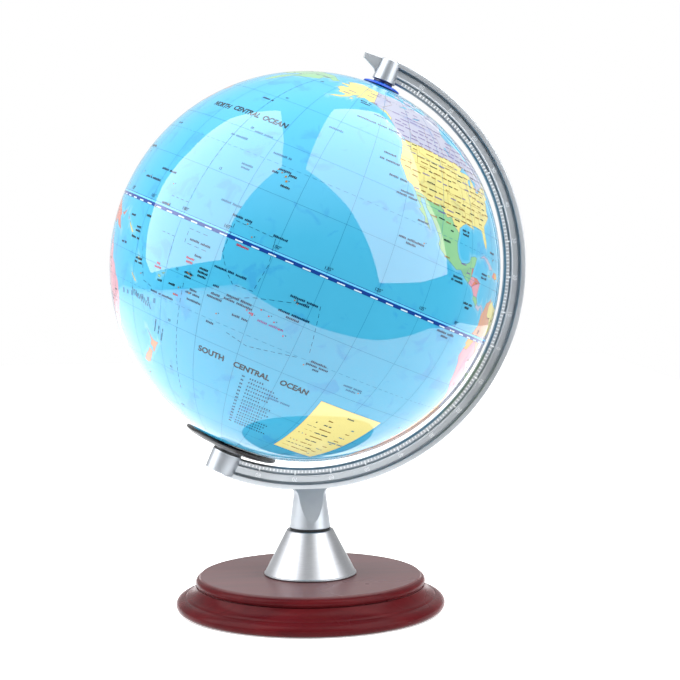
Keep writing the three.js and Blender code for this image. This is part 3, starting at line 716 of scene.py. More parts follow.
# coasts, lakes and borders, simplified to a degree or two
COASTS = named_outlines("""
america -156.5,71.3 -150,70.5 -144,70 -141,69.6 -134.5,69.5 -128,70.2 -121,69.8 -115,68.2 -108,68 -98,67.8
-94.5,70 -95.5,71.9 -91,69.6 -86,69.7 -81.5,68.6 -82,66.6 -86,66.3 -88,64.2 -93,61.8 -94.6,58.9 -92.3,57
-88,56.5 -82.3,55.1 -82,52.9 -80.5,51.4 -79,51.4 -78.9,53.5 -79.5,54.7 -76.8,56.8 -78.5,58.8 -77.6,62.3
-73.5,62.4 -69.6,60.8 -69.5,58.9 -66,58.8 -64.5,60.3 -61.7,57 -57.6,54.6 -55.7,52.6 -60,50.2 -66.4,50.2
-71,46.9 -68.5,48.5 -64.3,48.8 -65,47 -61.4,45.8 -60,46.9 -60.3,45.7 -63.5,44.6 -65.8,43.6 -66,44.5
-64.8,45.5 -67.2,44.7 -70.5,43.4 -70.8,42.2 -70,41.7 -74,40.7 -74.6,39.2 -75.9,37.1 -76.4,39 -76.2,36.9
-75.6,35.3 -77.9,33.9 -81.2,31.8 -81.4,30.2 -80.2,27 -80.4,25.2 -81.5,25.8 -82.8,28 -83.2,29.4 -84.3,30.1
-87.5,30.3 -89.5,30.2 -89.3,29.1 -91.4,29.4 -93.9,29.7 -95.4,28.9 -97.2,27.5 -97.3,25.6 -97.8,23 -97.3,20.9
-96.2,19.2 -94.6,18.2 -92.2,18.6 -90.8,19.4 -90.4,21 -88.3,21.6 -86.9,21.4 -87.5,19.4 -88.2,18.1 -88.7,15.9
-85.6,15.9 -83.2,15 -83.6,12.5 -83.6,10.9 -82,9 -80.8,8.8 -79.6,9.6 -77.5,8.7 -76.7,7.9 -75.5,10.6
-73.3,11.3 -71.7,12.4 -71.4,11 -70.1,12 -68.2,10.9 -64.5,10.2 -62,10.7 -60.8,8.6 -57.3,6.1 -51.8,4.4 -50,1.7
-50.5,-0.2 -48.4,-0.9 -44.3,-2.5 -40,-2.9 -35.4,-5.2 -34.9,-8 -37,-11 -39,-13.5 -39.3,-18 -41,-22
-44.5,-23.2 -48.4,-26 -49,-28.7 -52.2,-32.3 -54,-34.8 -57,-34.7 -58.4,-34.2 -57,-36.4 -58,-38.1 -62.2,-39
-65,-41 -64,-42.6 -65.4,-45 -67.5,-46.2 -66,-48 -69,-50.5 -68.5,-52.4 -71,-53.6 -73.7,-52.7 -75.4,-50
-75.5,-46.8 -73.2,-44 -73.8,-41 -73.3,-37.2 -71.6,-33 -71.4,-29.5 -70.4,-25 -70.2,-19.5 -71.5,-17.5 -76,-14
-77.3,-11.5 -79.3,-8 -81.2,-6 -80.4,-3.4 -79.8,-2.5 -80.9,-2.2 -80.1,0.5 -78.8,1.6 -77.2,3.9 -77.6,6.6
-78.3,8.3 -79.6,8.9 -80.3,7.4 -82.9,8.2 -83.8,9 -85.7,10 -85.8,11.2 -87.6,12.9 -89.7,13.5 -92.2,14.5
-94.6,16.2 -96.6,15.7 -101.5,17.6 -104.5,19.1 -105.7,20.4 -105.5,22 -108.2,25.1 -109.6,26.8 -112.2,29
-113.1,31.2 -114.7,31.7 -114.6,30.4 -112.8,28.2 -111.4,26.3 -109.5,23.1 -112.1,24.8 -112.4,26.2 -115,27.8
-114.2,28.5 -116,30.4 -117.2,32.6 -118.5,34 -120.6,34.6 -122.4,37.4 -123.8,39.2 -124.3,40.4 -124,44
-124,46.5 -124.7,48.4 -122.6,48 -123,49.2 -127,50.9 -128.5,52.9 -130.3,54.8 -133.4,57.4 -136.5,58.3
-139.8,59.6 -144,60 -147.5,61 -149.5,59.8 -151.8,59.2 -150.8,61.1 -153.6,59.6 -154.4,58.1 -158.3,56
-163.5,54.8 -161.8,56 -157.8,57.6 -157.3,58.8 -161.8,58.7 -162.2,60 -165.6,61.5 -164.8,63 -161,63.7
-161,64.5 -166.4,64.7 -168,65.6 -162.3,66.5 -166.7,68.4 -162.2,70.1
old_world 190.2,66.1 185,67.3 180,68.9 176,69.8 168,69.7 161,69.5 159.5,70.7 152,71 145,72.2 139.5,72.3
133,71.6 129.5,71 128,72.8 118.5,73.3 113.3,73.6 107,73.4 112,76 104.3,77.6 99,76.3 87,75 81,73.6 80,72.2
75,72.4 73,71.3 74,68.3 71.5,66.6 72.6,69 68.5,71 69,72.8 66.8,70.6 68.5,68.5 60.5,69.8 60,68.5 54,68.3
48,67.6 44,68.5 43.8,66.3 38,64.3 34.8,64.7 34.2,66.6 40.7,66.4 41,67.6 36,69.1 30.8,69.8 25.5,71 19,69.8
14.5,67.5 11,64.6 5.2,61.9 5.3,59 7.2,58 10.4,59.3 11.3,58.5 12.8,55.6 14.3,55.5 16.5,57.2 18.7,59.7
17.3,60.9 18,62.8 21.4,64.6 22.2,65.7 25.2,65.4 21.5,62.8 21.5,60.7 25,60.1 29.8,60.1 28,59.5 23.6,59.1
24.2,57.3 21.6,57.5 21,55.3 18.6,54.7 14,54.1 10.9,54.1 10.5,57.6 8.3,56.9 8.7,54 5,53.3 3.5,51.4 1.6,50.7
-1.3,49.6 -1.6,48.7 -4.7,48.4 -1.5,46.5 -1.4,43.5 -8.9,43.3 -9.4,38.8 -8.9,37.1 -6.4,36.9 -5.6,36 -2.2,36.8
0.1,38.7 -0.2,39.8 3.2,42 4,43.5 7.5,43.8 9.5,44.2 12.3,41.7 15.7,40 16.1,38.1 16.9,40.4 18.4,40 15.9,41.8
13.6,43.6 12.3,45.3 13.8,45.3 17,43.1 19.5,41.7 20.2,39.3 21.7,36.8 23.1,36.6 24,37.8 22.9,39.6 23.8,40.6
26.2,40.8 26.3,39 27.5,37 30.6,36.8 32.8,36.1 36,36.8 35.6,33.9 34.3,31.3 30,31.5 22,32.8 19,30.3 15.5,31.8
10.5,33.9 10.8,36.9 4,36.9 -2,35.2 -5.9,35.7 -9.8,31.4 -13,27.8 -17,21 -16.3,18.5 -17.4,14.7 -16.5,12.2
-13.2,8.9 -7.6,4.4 -1.5,4.9 4.4,6.3 6.2,4.3 9,4.5 9.6,1.8 8.8,-0.8 12,-5 13.5,-9 12.4,-14 14.3,-22.3
15.4,-27.5 18.2,-32 18.6,-34.3 25.6,-34 30.5,-30.8 32.8,-27 35.4,-24 34.9,-20 40.5,-15 40.4,-10.8 39,-6.5
41.5,-1.8 46,2.6 50,8.4 51.2,11.8 43.4,11.5 42.7,13.8 37.4,19 35.6,24 32.7,29.8 34.2,27.9 35,29.3 37.3,25.2
39.3,21 42.7,16.6 43.5,12.8 48,14 53,16.3 57.8,19 59.7,22.5 56.5,25.9 54,24.1 51.5,24.5 50.3,26.7 48,29.8
50.5,29.8 54.5,26.6 57,26.8 61.6,25.1 66.8,25.3 70.2,22.8 69.2,22 72.6,21.4 73,18 74.5,14 76.4,9.8 77.6,8
79.9,10.4 80.2,15.5 82.5,16.8 87,21.4 91,22.6 94.2,18 94.6,16 97.2,16.8 98.7,10 100.3,6.2 103.5,1.3
103.4,4.6 100.2,8.3 99.6,11.8 100.5,13.4 103,10.8 105,8.7 107,10.4 109.3,12 108.6,15.8 105.7,19 107.5,21.4
110.4,21.3 114.3,22.4 118.5,24.6 121.7,28.5 121.7,31.4 119.3,34.9 122.4,37 118.6,37.8 117.9,39.2 121.9,40.8
121.3,38.9 124.6,39.8 126.6,37.2 126.4,34.5 129.3,35.3 127.6,39.6 130.7,42.4 135.5,44.3 139.5,47.8 141,52.4
137.5,54 135.3,54.8 139.5,57.5 142.5,59.3 149,59.6 155,59.4 160,61.8 162.9,62.1 162.2,59.9 157,57.6
155.6,54.6 156.8,51.1 160,53.2 163,57 163.5,58.7 170.3,60 179.3,62.4 178,64.6 182,65.5 186.7,64.4
greenland -73,78.2 -68,76.1 -58,75.4 -54.5,70.6 -53.6,66.8 -51.4,63.7 -48,60.9 -43.6,60 -41,63.4 -36,65.8
-25,69 -21.8,71.8 -19,76 -18.5,80 -30,83.4 -45,82.3 -60,82 -66,80.4
ellesmere -78,76.4 -90,76.4 -88,78.3 -96,80.3 -90,82 -70,83.1 -61.5,82.4 -75.5,78.8
devon -80,74.6 -92,74.8 -96,76.6 -80,75.7
melville -105,75 -117,75.3 -122,76.2 -110,77.5 -104,76.2
somerset -92.5,72.4 -102,71.6 -102,73.9 -91,74
baffin -64.7,63.3 -66.5,62 -71.5,62.8 -77.8,64.4 -73.8,65.5 -73,68 -78.5,70 -89.3,70.9 -89.5,73.6 -80.5,73.6
-68.5,70.5 -61.6,66.7 -67.5,66.2
southampton -81,63.8 -87,63.7 -84,65.8
victoria -105.5,69.2 -116.5,69.1 -117.5,71.2 -114.5,73.3 -107.5,73.2 -104.8,71
banks -123,71.2 -125.3,72.2 -124,74.3 -119.5,74 -119.5,71.7
newfoundland -59.2,47.7 -57.4,50.6 -55.7,51.5 -53.4,49 -52.9,46.8 -55.9,46.9
vancouver -123.5,48.4 -125.6,48.9 -128.2,50.7 -125,50.1
haida -131.3,52.3 -132.9,54 -131.8,54
kodiak -154.3,57 -152.3,57.4 -152.6,58.4 -153.9,57.8
cuba -84.9,21.9 -82.5,23.1 -79.5,22.7 -75.7,21 -74.2,20.2 -77.6,19.9 -78.4,21 -82,22.4
hispaniola -74.4,18.4 -72.8,19.9 -69.9,19.7 -68.4,18.5 -71.2,17.8
jamaica -78.3,18.3 -77,18.4 -76.3,17.9 -77.6,17.8
puerto_rico -67.2,18.4 -65.7,18.4 -65.9,18 -67.2,18
fire_land -68.6,-52.8 -65.3,-54.7 -68.5,-55.5 -72,-54.3
falklands -61,-51.8 -58.5,-51.4 -58.2,-52 -60.5,-52.2
iceland -22.5,64 -24,65.5 -22,66.4 -16,66.4 -13.7,65 -18.5,63.4
britain -5.6,50.1 -3.2,51.4 -5.2,51.8 -4.3,53.2 -3,53.8 -5,55.3 -6.1,56.8 -5,58.6 -3.1,58.5 -2,57.6 -3.2,56
-1.3,54.7 0.2,53 1.7,52.6 1.2,51.2 -1.3,50.7 -3.6,50.3
ireland -6.2,52.3 -5.8,54.4 -7.3,55.3 -9.9,54.1 -10,52 -8.5,51.6
svalbard 11.5,79.3 16,76.7 21.5,78.3 26,80 16,80
novaya 53,71 57.3,70.7 56.5,73 62,75.3 68.5,76.8 60.5,76 54,73.4
severnaya 95,79 100,78.6 104.5,79 97,81
new_siberian 138,75.3 147,75 150,75.3 142,76
sakhalin 142,46.1 143.3,49.3 142.7,54.3 141.9,51
hokkaido 140,41.7 140.4,43.3 141.8,45.4 145.3,43.4 143.2,42
honshu 141.4,41.3 142,39.5 140.8,35.7 137,34.6 135.7,33.6 131,34.1 133,35.5 136.8,37.2 139.8,39.4
kyushu 129.8,33.3 131.8,33.6 131.3,31.4 130.2,31.5
taiwan 120.2,23.2 121.5,25.2 121.4,24 120.8,22
hainan 108.7,19.2 110.3,20.1 111,19.7 109.5,18.2
luzon 120.4,14.8 119.9,16.3 120.7,18.5 122.2,18.4 121.6,15.8 124.1,12.8 122.5,13.6 120.7,13.8
mindanao 122,7 125.4,5.7 126.5,7.5 125.5,9.8 123.4,8.6
visayas 122,11.6 124.5,12.5 125.6,11.2 123.3,9.3 122,10.5
palawan 117.2,8.4 119.4,11.2 119.6,10.5 117.6,8.2
borneo 109,1.5 111.3,2.5 113,3.2 116.8,7 119.1,5.1 117.8,2 117.5,0.8 116.4,-3.6 114.5,-4.1 110.2,-2.9
109.1,0
sumatra 95.3,5.6 97.5,5.2 100.4,2.3 103.8,-1 106,-3 105.8,-5.8 102.3,-4 98.7,1.7
java 105.2,-6.8 106.8,-6 110.8,-6.4 114.4,-7.7 114.3,-8.6 108.5,-7.8
sulawesi 119.4,-5.5 118.9,-3 119.9,0.6 124.8,1.5 124,0.4 120.4,0.4 121,-0.9 123.2,-0.9 121.6,-2 122.6,-5
121.4,-4.8 120.8,-2.8 120.4,-5.5
timor 123.6,-10.3 125,-8.7 127.2,-8.3 125.2,-9.6
new_guinea 131,-0.8 134,-0.8 135,-3.3 138,-1.7 141,-2.6 145.8,-5 147.8,-6.1 147.2,-7 150.8,-10.4 147,-9.5
144,-7.7 142.5,-9.2 139,-8.1 138,-5.5 133,-4 131.3,-1.5
new_britain 148.4,-5.6 150.6,-6.3 152.3,-4.2 150.2,-5.4
bougainville 154.6,-5.5 156,-6.6 155.4,-6.7
solomons 156.8,-7 160.8,-9.4 160.4,-9.9 157.4,-8
new_caledonia 164,-20.1 167,-22.3 166.3,-22.4 164.1,-20.7
vanuatu 166.6,-14.8 167.3,-15.4 167.6,-16.5 166.9,-15.9
fiji 177.3,-17.5 178.5,-17.6 178.4,-18.2 177.4,-18.2
vanua 178.6,-16.8 180,-16.2 179.5,-16.9
australia 113.7,-22.6 114.1,-26.3 115.7,-31.7 115.1,-34.2 118,-35 123.6,-33.9 129,-31.7 131.2,-31.5
134.3,-32.8 135.8,-34.8 137.8,-32.7 137.6,-35.2 139,-36 140.6,-38 143.5,-38.8 146.4,-39 150,-37.4
151.3,-33.7 153.1,-31 153.6,-28.6 153.1,-25 150.8,-23.2 149,-20.5 146.3,-19 145.4,-15.6 143.7,-14.3
142.5,-10.8 141.6,-13 140.9,-17.4 139.2,-17.4 135.5,-15 136.8,-12.2 132.6,-11.3 130.8,-12.5 129.5,-14.9
126.8,-13.9 123.8,-16.6 122.2,-18 119,-20 116.8,-20.7
tasmania 144.8,-40.8 148.3,-40.9 147.9,-43.1 146,-43.5
north_zealand 172.8,-34.5 174.9,-36.7 176.2,-37.6 178.5,-37.7 177,-39.4 175.4,-41.6 174.7,-41.2 175,-40.1
173.8,-39.3 174.7,-38 174.2,-36.3
south_zealand 172.8,-40.6 174.3,-41.6 172.8,-43.7 170.7,-45.9 168.4,-46.6 166.5,-45.9 168.6,-44 171.3,-42.2
madagascar 49.3,-12 50.4,-15.8 47.2,-25 45,-25.5 43.4,-22.2 44.4,-19.8 44.3,-16.2 47,-15.3
ceylon 79.9,8 80.3,9.7 81.8,7.3 80.6,6
sicily 12.5,38 15.6,38.2 15.1,36.7
sardinia 8.3,39 8.2,41 9.6,41.1 9.6,39.2
corsica 8.6,42.3 9.4,43 9.3,41.5
crete 23.6,35.4 26.2,35.2 24.8,34.9
cyprus 32.4,34.9 34.4,35.6 33.6,34.7
antarctica -169.2,-78 -158,-77.6 -150,-77 -135,-74.6 -118,-74 -102,-73 -85,-73.2 -75,-71.5 -68,-68 -61,-64
-57,-63.3 -60.5,-65.6 -62,-69.5 -61,-74 -72,-77.2 -50,-78 -35,-78 -26,-75.6 -12,-71.6 10,-70 30,-69.5 40,-69
52,-66 69,-68.5 73,-69.6 80,-67.6 95,-66.5 110,-66.2 130,-66.2 145,-67 160,-69.8 170,-71.8 169.5,-73.3
165,-77.3 176,-78.2 190.8,-78 190.8,-89.9 -169.2,-89.9
""")
LAKES = named_outlines("""
black_sea 28.3,41.4 28.2,43 29.8,45.2 31,46.5 33.4,46 33.5,44.6 36.6,45.3 39,47 37.6,44.7 41.5,42.2 40,41.1
35,42 31.5,41.3
caspian 47.4,43.5 49.5,46.4 53,46.8 51.2,44.5 53,42 53.8,37.2 50.2,37.4 49.2,40.5
aral 58.5,44.2 61.6,46.4 60.8,44.2
baikal 103.9,51.5 109.8,55.6 108.3,53.2 105.4,51.6
victoria_lake 31.8,-0.2 34,0.2 33.6,-2.4 31.9,-2.3
superior -92,46.7 -88.4,48.7 -84.8,46.7 -87.7,46.8
michigan -87.4,41.8 -87.8,44.2 -85.1,45.9 -86.4,43.2
huron -84.3,46 -80.2,45.4 -81.8,43.3 -83.3,44.6
erie -83.2,41.8 -79,42.8 -81.5,41.7
ontario -79.6,43.3 -76.4,44.1 -77,43.3
winnipeg -96.5,50.5 -99,53.5 -97.6,53.8
great_bear -124.5,65.2 -119,66.8 -118,65.6
great_slave -116.5,61 -109.5,62.8 -113,61.2
""")
BORDERS = open_lines("""
-141,70.2 -141,60.3 -137.4,58.7 -133.5,58.6 -130,56 -130.4,54.4 / -123.4,49 -95.2,49 -89.5,48 -88.2,47.9 /
-85.4,46.9 -84.2,46 -82.6,45.3 / -82.4,43.4 -82.8,42 / -79.2,42.6 -79,43.4 / -76.6,44 -74.8,45 -71.4,45.1
-69.2,47.4 -67.8,47.1 -66.8,44.7 / -117.5,32.6 -114.8,32.6 -111,31.3 -108.2,31.6 -106.5,31.7 -103.2,29
-101.4,29.8 -99.4,27.3 -96.9,25.9 / -92.6,14.3 -91.6,16.1 -90.7,17.8 -88,18.2 / -89,18.4 -89.2,15.8
-88.2,15.7 / -90.4,13.4 -89.3,14.5 -88.8,16 / -89.3,14.5 -87.7,13.6 -87.9,12.8 / -87.9,13 -86,14 -82.9,15.1
/ -86.1,11.1 -83.4,10.8 / -83.1,8 -82.4,9.7 / -77.1,8.9 -77.7,7.1 / -79.2,1.3 -77.2,0.4 -75.3,-0.1 -70,-4.2
-69.9,-0.2 -69.9,1.5 -67,1.2 -67.7,6.2 -72.2,7.2 -72.8,9.8 -71,12.2 / -75.3,-0.1 -78.2,-3.8 -80.9,-3.6 /
-70,-4.2 -73.8,-7.3 -70.6,-9.6 -69,-12.6 -69.5,-17.4 -71,-18.4 / -70.6,-9.6 -65.3,-10.6 -60,-14 -58,-19.8
-62.3,-20.7 -62.7,-22.2 -67.2,-22.8 -69.5,-17.4 / -67.2,-22.8 -69.6,-29 -70.2,-36 -71.7,-45 -72.3,-51
-68.2,-52.3 / -62.7,-22.2 -57.8,-25.2 -58.5,-27.3 -54.6,-25.6 -58,-19.8 / -54.6,-25.6 -53.8,-27.2
-57.6,-30.2 -58.4,-34.4 / -57.6,-30.2 -53.2,-33.9 / -67,1.2 -60,5 -60.6,8.8 / -60,5 -59.8,2 -56.5,1.9
-51.4,4.4 / -57.3,6.3 -58,4 -56.5,1.9 / -54.2,6 -54.2,2.3 -56.5,1.9 / -71.7,17.5 -71.7,20 / 30.8,70
28.5,68.5 30,63.5 28,60.2 / 20.5,69.3 25,68.8 28.5,68.5 / 24.1,65.9 23.6,68 20.5,69.3 14,64 12,59 10.9,58.9
/ 28,59.8 27.7,56 31,52.5 34,51.5 40,49.6 38.2,47 37.8,46.8 / 27.7,56 24,54 23.5,52 24,50.5 31,52.5 /
20.8,55.6 22.8,54.3 19.4,54.3 / 23.5,52 22.6,49 18.8,49.6 14.8,51 14.3,54.2 / 24,50.5 22.6,49 28.2,45.4
29.8,45.1 / 14.8,51 12.2,50.3 13.8,48.8 16.8,48.6 22.6,49 / 7,53.6 6,51 6.2,49.5 8.2,48.9 7.6,47.5 13,47.5
13.8,48.8 / 3.2,51.5 6,51 / 2.4,51.2 6.2,49.5 / -1.9,43.4 3.3,42.4 / -8.9,41.9 -6.5,41.7 -7.2,37 / 7.6,47.5
6.8,46 7.6,43.6 / 6.8,46 13.6,46.5 13.7,45.4 / 16.8,48.6 16.2,46.8 19,45.9 22.6,49 / 16.2,46.8 13.6,46.5 /
19,45.9 22.6,44.4 28.7,43.7 / 22.6,44.4 22.9,41.4 26.5,41.8 28.2,42 / 19,41.9 20.8,42 22.9,41.4 / 20,39.5
21,40.9 20.8,42 / 22.9,41.4 26.4,41 26.2,40.6 / 35.7,36.6 42.3,37.2 44.8,37.1 44.8,39.6 41.3,41.6 /
44.8,39.6 48.5,39.6 48.9,38.4 / 39.8,43.4 47,42 48.3,41.9 / 34.2,31.2 35,29.4 / 35.7,33 39,32.2 42.3,37.2 /
35,29.4 39,32.2 47.8,29.2 48.2,30.2 46,33.2 44.8,37.1 / 53.7,37.4 60.6,36.6 61.6,31.2 61.7,25 / 60.6,36.6
66.5,37.4 71.2,36.8 74.8,37.2 71,34 66.4,29.8 61.6,29.6 / 74.8,37.2 74,33 70.5,28 71,24.4 68,23.6 /
74.8,37.2 80.2,31 88.2,27.9 97.4,28.2 94.8,25 92.3,21 / 80.2,31 88.2,26.5 88.2,27.9 / 88.2,26.5 89,21.5 /
97.4,28.2 97.8,24 101.2,21.6 97.6,18.2 98.8,9.8 / 101.2,21.6 105,23 108.2,21.4 / 101.2,21.6 105.6,15
107.4,12 104.4,10.2 / 105.6,15 102.4,13.4 102.8,11.6 / 99.8,6.6 102.2,6.1 / 49,46.6 47,50 55,51 61,51.5
70,55.3 77,53.6 87.3,49.1 / 87.3,49.1 98,50.3 107,49.6 116.6,49.8 120,53 126,52.6 130.8,47.8 135,48.4
131,44.8 130.6,42.2 / 87.3,49.1 80,45 80,42 74,39.5 74.8,37.2 / 87.3,49.1 96,42.8 105,41.6 112,43.6
119.8,46.8 116.6,49.8 / 124.2,39.6 130.7,42.6 / 126.3,37.8 128.6,38.6 / 53.5,42 59,45 66,41.5 71,42.5 80,42
/ -2.2,35.3 -1,32 -8.7,28.7 -13.2,27.7 / -8.7,27.4 4.2,19.2 7.6,36.9 / 7.6,33.4 9.4,30.4 11.6,33.4 /
9.4,30.4 9.8,26 12,23.4 15,23 25,20 25,31.8 / 25,22 37,22 / 25,20 24,15.6 22.4,11 27,9.6 34,9.6 36.4,14.4
38.6,18 / 36.4,14.4 42.9,12.4 / 34,9.6 35.9,4.6 41.9,4 48,8 43.1,11.6 / 41.9,4 41.4,-2 / 35.9,4.6 30.8,3.6
34,1 34,-1 39.4,-4.8 / 27,9.6 30.8,3.6 29.6,-1 30.5,-8.2 28.3,-12 24,-11 22,-7.4 16.6,-6 12.2,-6 / 15,23
13.6,13.6 8.4,4.4 / 13.6,13.6 3.6,11.8 2.6,6.2 / 4.2,19.2 -5,25 -5.6,15.4 -12,14.8 -16.8,16.2 / 3.6,11.8
-5.6,15.4 -8,10.2 -7.6,4.2 / 8.4,4.4 16,2.2 18.6,4.4 27,5 30.8,3.6 / 9.6,2.2 16,2.2 16.6,-6 / 30.5,-8.2
40.6,-10.6 / 28.3,-12 33,-9.4 35.6,-15 32.8,-17 31.3,-22.3 31.8,-26.8 33,-26.8 / 24,-11 22,-13 23.4,-17.6
11.6,-17.2 / 23.4,-17.6 25.3,-17.8 30.4,-15.6 32.8,-17 / 21,-18 20,-24.8 20,-28.4 16.3,-28.6 / 20,-24.8
25.6,-25.6 29.4,-22.2 25.3,-17.8 / 29.4,-22.2 31.3,-22.3 / 141,-2.4 141,-9.4 / 109.5,1.9 112.5,1.5 115,2.6
118,4.2 / 123.9,-10.2 125.2,-8.5
""")
STATE_LINES = open_lines("""
-123.9,46.2 -119,45.9 -117,46 -117,49 / -117,46 -117,42 / -124.2,42 -111,42 -111,45 -116,46.5 -116,49 /
-120,42 -120,39 -114.6,35 / -114,42 -114,36.2 / -109,31.4 -109,41 -111,41 -111,42 / -114,37 -94.6,37 /
-109,41 -102,41 -102,37 / -104,41 -104,49 / -104,43 -98.5,43 -96.5,42.5 / -104,46 -96.6,46 / -96.5,49
-96.5,43.5 -91.2,43.5 -91.2,47 / -96.5,43.5 -95.4,40.6 -91.5,40.5 / -103,37 -103,32 -106.5,32 / -103,36.5
-100,36.5 -100,34.6 -94.5,33.7 -94.4,36.5 -94.6,40.6 / -94.2,33 -91.1,33 / -94,33 -93.8,29.8 / -91.5,43.5
-90.2,41 -91.4,39.6 -89.3,36.6 -91.2,33.4 -91.5,31 -89.8,31 / -94.4,36.5 -81.7,36.5 / -90,35 -83.2,35 -81,35
-78.6,33.9 / -88.3,35 -88.4,30.5 / -85.6,35 -85.1,31 -81.5,30.6 / -89.3,37 -84.8,39.1 -82.3,38.5 -80.5,40.6
/ -87.6,41.6 -87.6,38.4 / -84.8,41.7 -84.8,39.2 / -80.5,42 -80.5,39.7 -75.6,39.7 / -82,37.5 -79.5,39
-77.6,38.6 / -79.7,42.1 -75.3,42 -74.2,41.2 / -73.4,45 -73.3,42 / -120,60 -60.5,60 / -120,60 -120,53.6
-114,49.2 / -110,60 -110,49 / -102,60 -101.4,49 / -95,60 -89,57 -95.2,52.8 -95.2,49 / -136,60 -120,60 /
-136,60 -130,64 -136.5,68.6 / -79.5,51.4 -79.5,47.4
""")
TINTS = {
    "yellow": "#fff69c", "lilac": "#cdd2e8", "mint": "#b9e3ab", "green": "#a0e2a8", "coral": "#f08f7c",
    "pink": "#f3b3c4", "salmon": "#efb28f", "amber": "#f8c86d", "cream": "#f8ecb6", "ice": "#eef4f8",
}
# a point inside each country, listed by the country's tint
COUNTRIES = {
    "yellow": path("-150,65 -100,40 -66,8 24,43 -7,52.8 121,15 8,9 45,24 14,49.9 80,48 167,-15.5"),
    "lilac": path("-110,58 -122,60 -80,9 -80,22 2,47 105,12 135,-24 9,61 30,0 45,34 -66,-17 -85,50 -61,3"),
    "mint": path("-50,-10 -89.5,16 178,-18 20,3 30,40 -7,6"),
    "green": path(
        "100,65 150,62 60,60 -102,24 -112,26.2 -112,30 -103,20 -90,20 -90,15.5 -84,10 12,42.5 45,8 102,3"
        " -77,18 34,49 8,35 24,-29 -60,-23 120,-3 95,21"),
    "coral": path(
        "-86.5,14.8 143,-6 138,-4 -72,19 138,37 143,43 28,66 0,28 47,-20 -56,-33 128,40 101,15 -88.5,17.4"),
    "pink": path(
        "-85,12.8 -76,-10 125,-28 145,-25 10,52 30,28 -2,40 95,30 110,35 65,45 18,-13 -88,13.8 -5,12"),
    "salmon": path("-74,4 -71,-40 -67,-35 15,65 79,22 66,30 38,7 28,-15 125,8 173,-42 176,-38 15,15 36,-4"),
    "amber": path(
        "-78,-1 -70.5,19 113,0 105,47 -3,54 25,55 55,33 34,-16 -8,39.5 30,-25 147,-43 35,62 -69,-28"),
    "cream": path("20,52 30,15 20,48 22,-22 -5,33 127,37 45,40 47,5 112,-7 70,39"),
    "ice": path("-40,72 20,-80 -100,-80 -85,80 -70,67 58,74 16,78.5 -18,65 -160,-80 100,-75"),
}

# ---------------------------------------------------------------- map mesh

GRID = 2.5                             # spacing of the fill points, in degrees
SHELF_REACH = 1.0                      # width of the pale shelf along each coast, in degrees
SHELF_SPACING = 1.6                    # spacing of the points along the shelf's edge
COAST_CLEARANCE = 0.6                  # fill points nearer a coast than this are left out
FILL_CELL = 0.7                        # at most one fill point lies in a cell of this size
SEAM_LAT = math.degrees(SEAM_HALF / BALL_R)
POLE_LAT = math.degrees(math.acos(POLE_HOLE_R / BALL_R))
ON_EDGE = 1e-4                         # latitudes closer than this are the same
TINY = 1e-12                           # keeps divisions by a length of zero harmless


def on_ball(lon, lat, lift=0.0):
    """The point of the printed ball at a longitude and latitude, in the axle's frame."""
    turn = math.radians(lon - FRONT_MERIDIAN)
    high = math.radians(lat)
    radius = BALL_R + lift
    flat = radius * math.cos(high)
    return (flat * math.sin(turn), -flat * math.cos(turn), radius * math.sin(high))


def finely(line):
    """The line with points added, so that none lie more than the grid's spacing apart."""
    spots = []
    for a, b in zip(line, line[1:]):
        steps = max(1, math.ceil(max(abs(b[0] - a[0]), abs(b[1] - a[1])) / GRID))
        spots += [(a[0] + (b[0] - a[0]) * k / steps, a[1] + (b[1] - a[1]) * k / steps) for k in range(steps)]
    return spots + [line[-1]]


def segments(loops):
    """Start and end points of every side of closed loops, as two arrays."""
    starts = [p for loop in loops for p in loop]
    ends = [p for loop in loops for p in loop[1:] + loop[:1]]
    return np.array(starts), np.array(ends)


def inside(points, loops):
    """Even-odd test of many points against closed loops."""
    result = np.zeros(len(points), bool)
    for loop in loops:
        corners = np.array(loop)
        low, high = corners.min(0), corners.max(0)
        near = np.all((points >= low) & (points <= high), axis=1)
        index = np.nonzero(near)[0]
        if not len(index):
            continue
        x, y = points[index, 0][:, None], points[index, 1][:, None]
        a, b = corners, np.roll(corners, -1, axis=0)
        spans = (a[:, 1] > y) != (b[:, 1] > y)
        rise = np.where(b[:, 1] == a[:, 1], TINY, b[:, 1] - a[:, 1])
        crossing = (b[:, 0] - a[:, 0]) * (y - a[:, 1]) / rise + a[:, 0]
        result[index] ^= (np.sum(spans & (x < crossing), axis=1) % 2).astype(bool)
    return result


def distance_to(points, starts, ends):
    """Degrees on the ball's surface from each point to the nearest side of the coasts."""
    batch = 2000
    best = np.full(len(points), 1e9)
    for first in range(0, len(points), batch):
        part = points[first:first + batch]
        shrink = np.cos(np.radians(part[:, 1]))[:, None]
        ax = (starts[None, :, 0] - part[:, None, 0]) * shrink
        ay = starts[None, :, 1] - part[:, None, 1]
        dx = (ends[None, :, 0] - starts[None, :, 0]) * shrink
        dy = np.broadcast_to(ends[:, 1] - starts[:, 1], dx.shape)
        along = np.clip(-(ax * dx + ay * dy) / np.maximum(dx * dx + dy * dy, TINY), 0, 1)
        best[first:first + batch] = np.hypot(ax + along * dx, ay + along * dy).min(1)
    return best


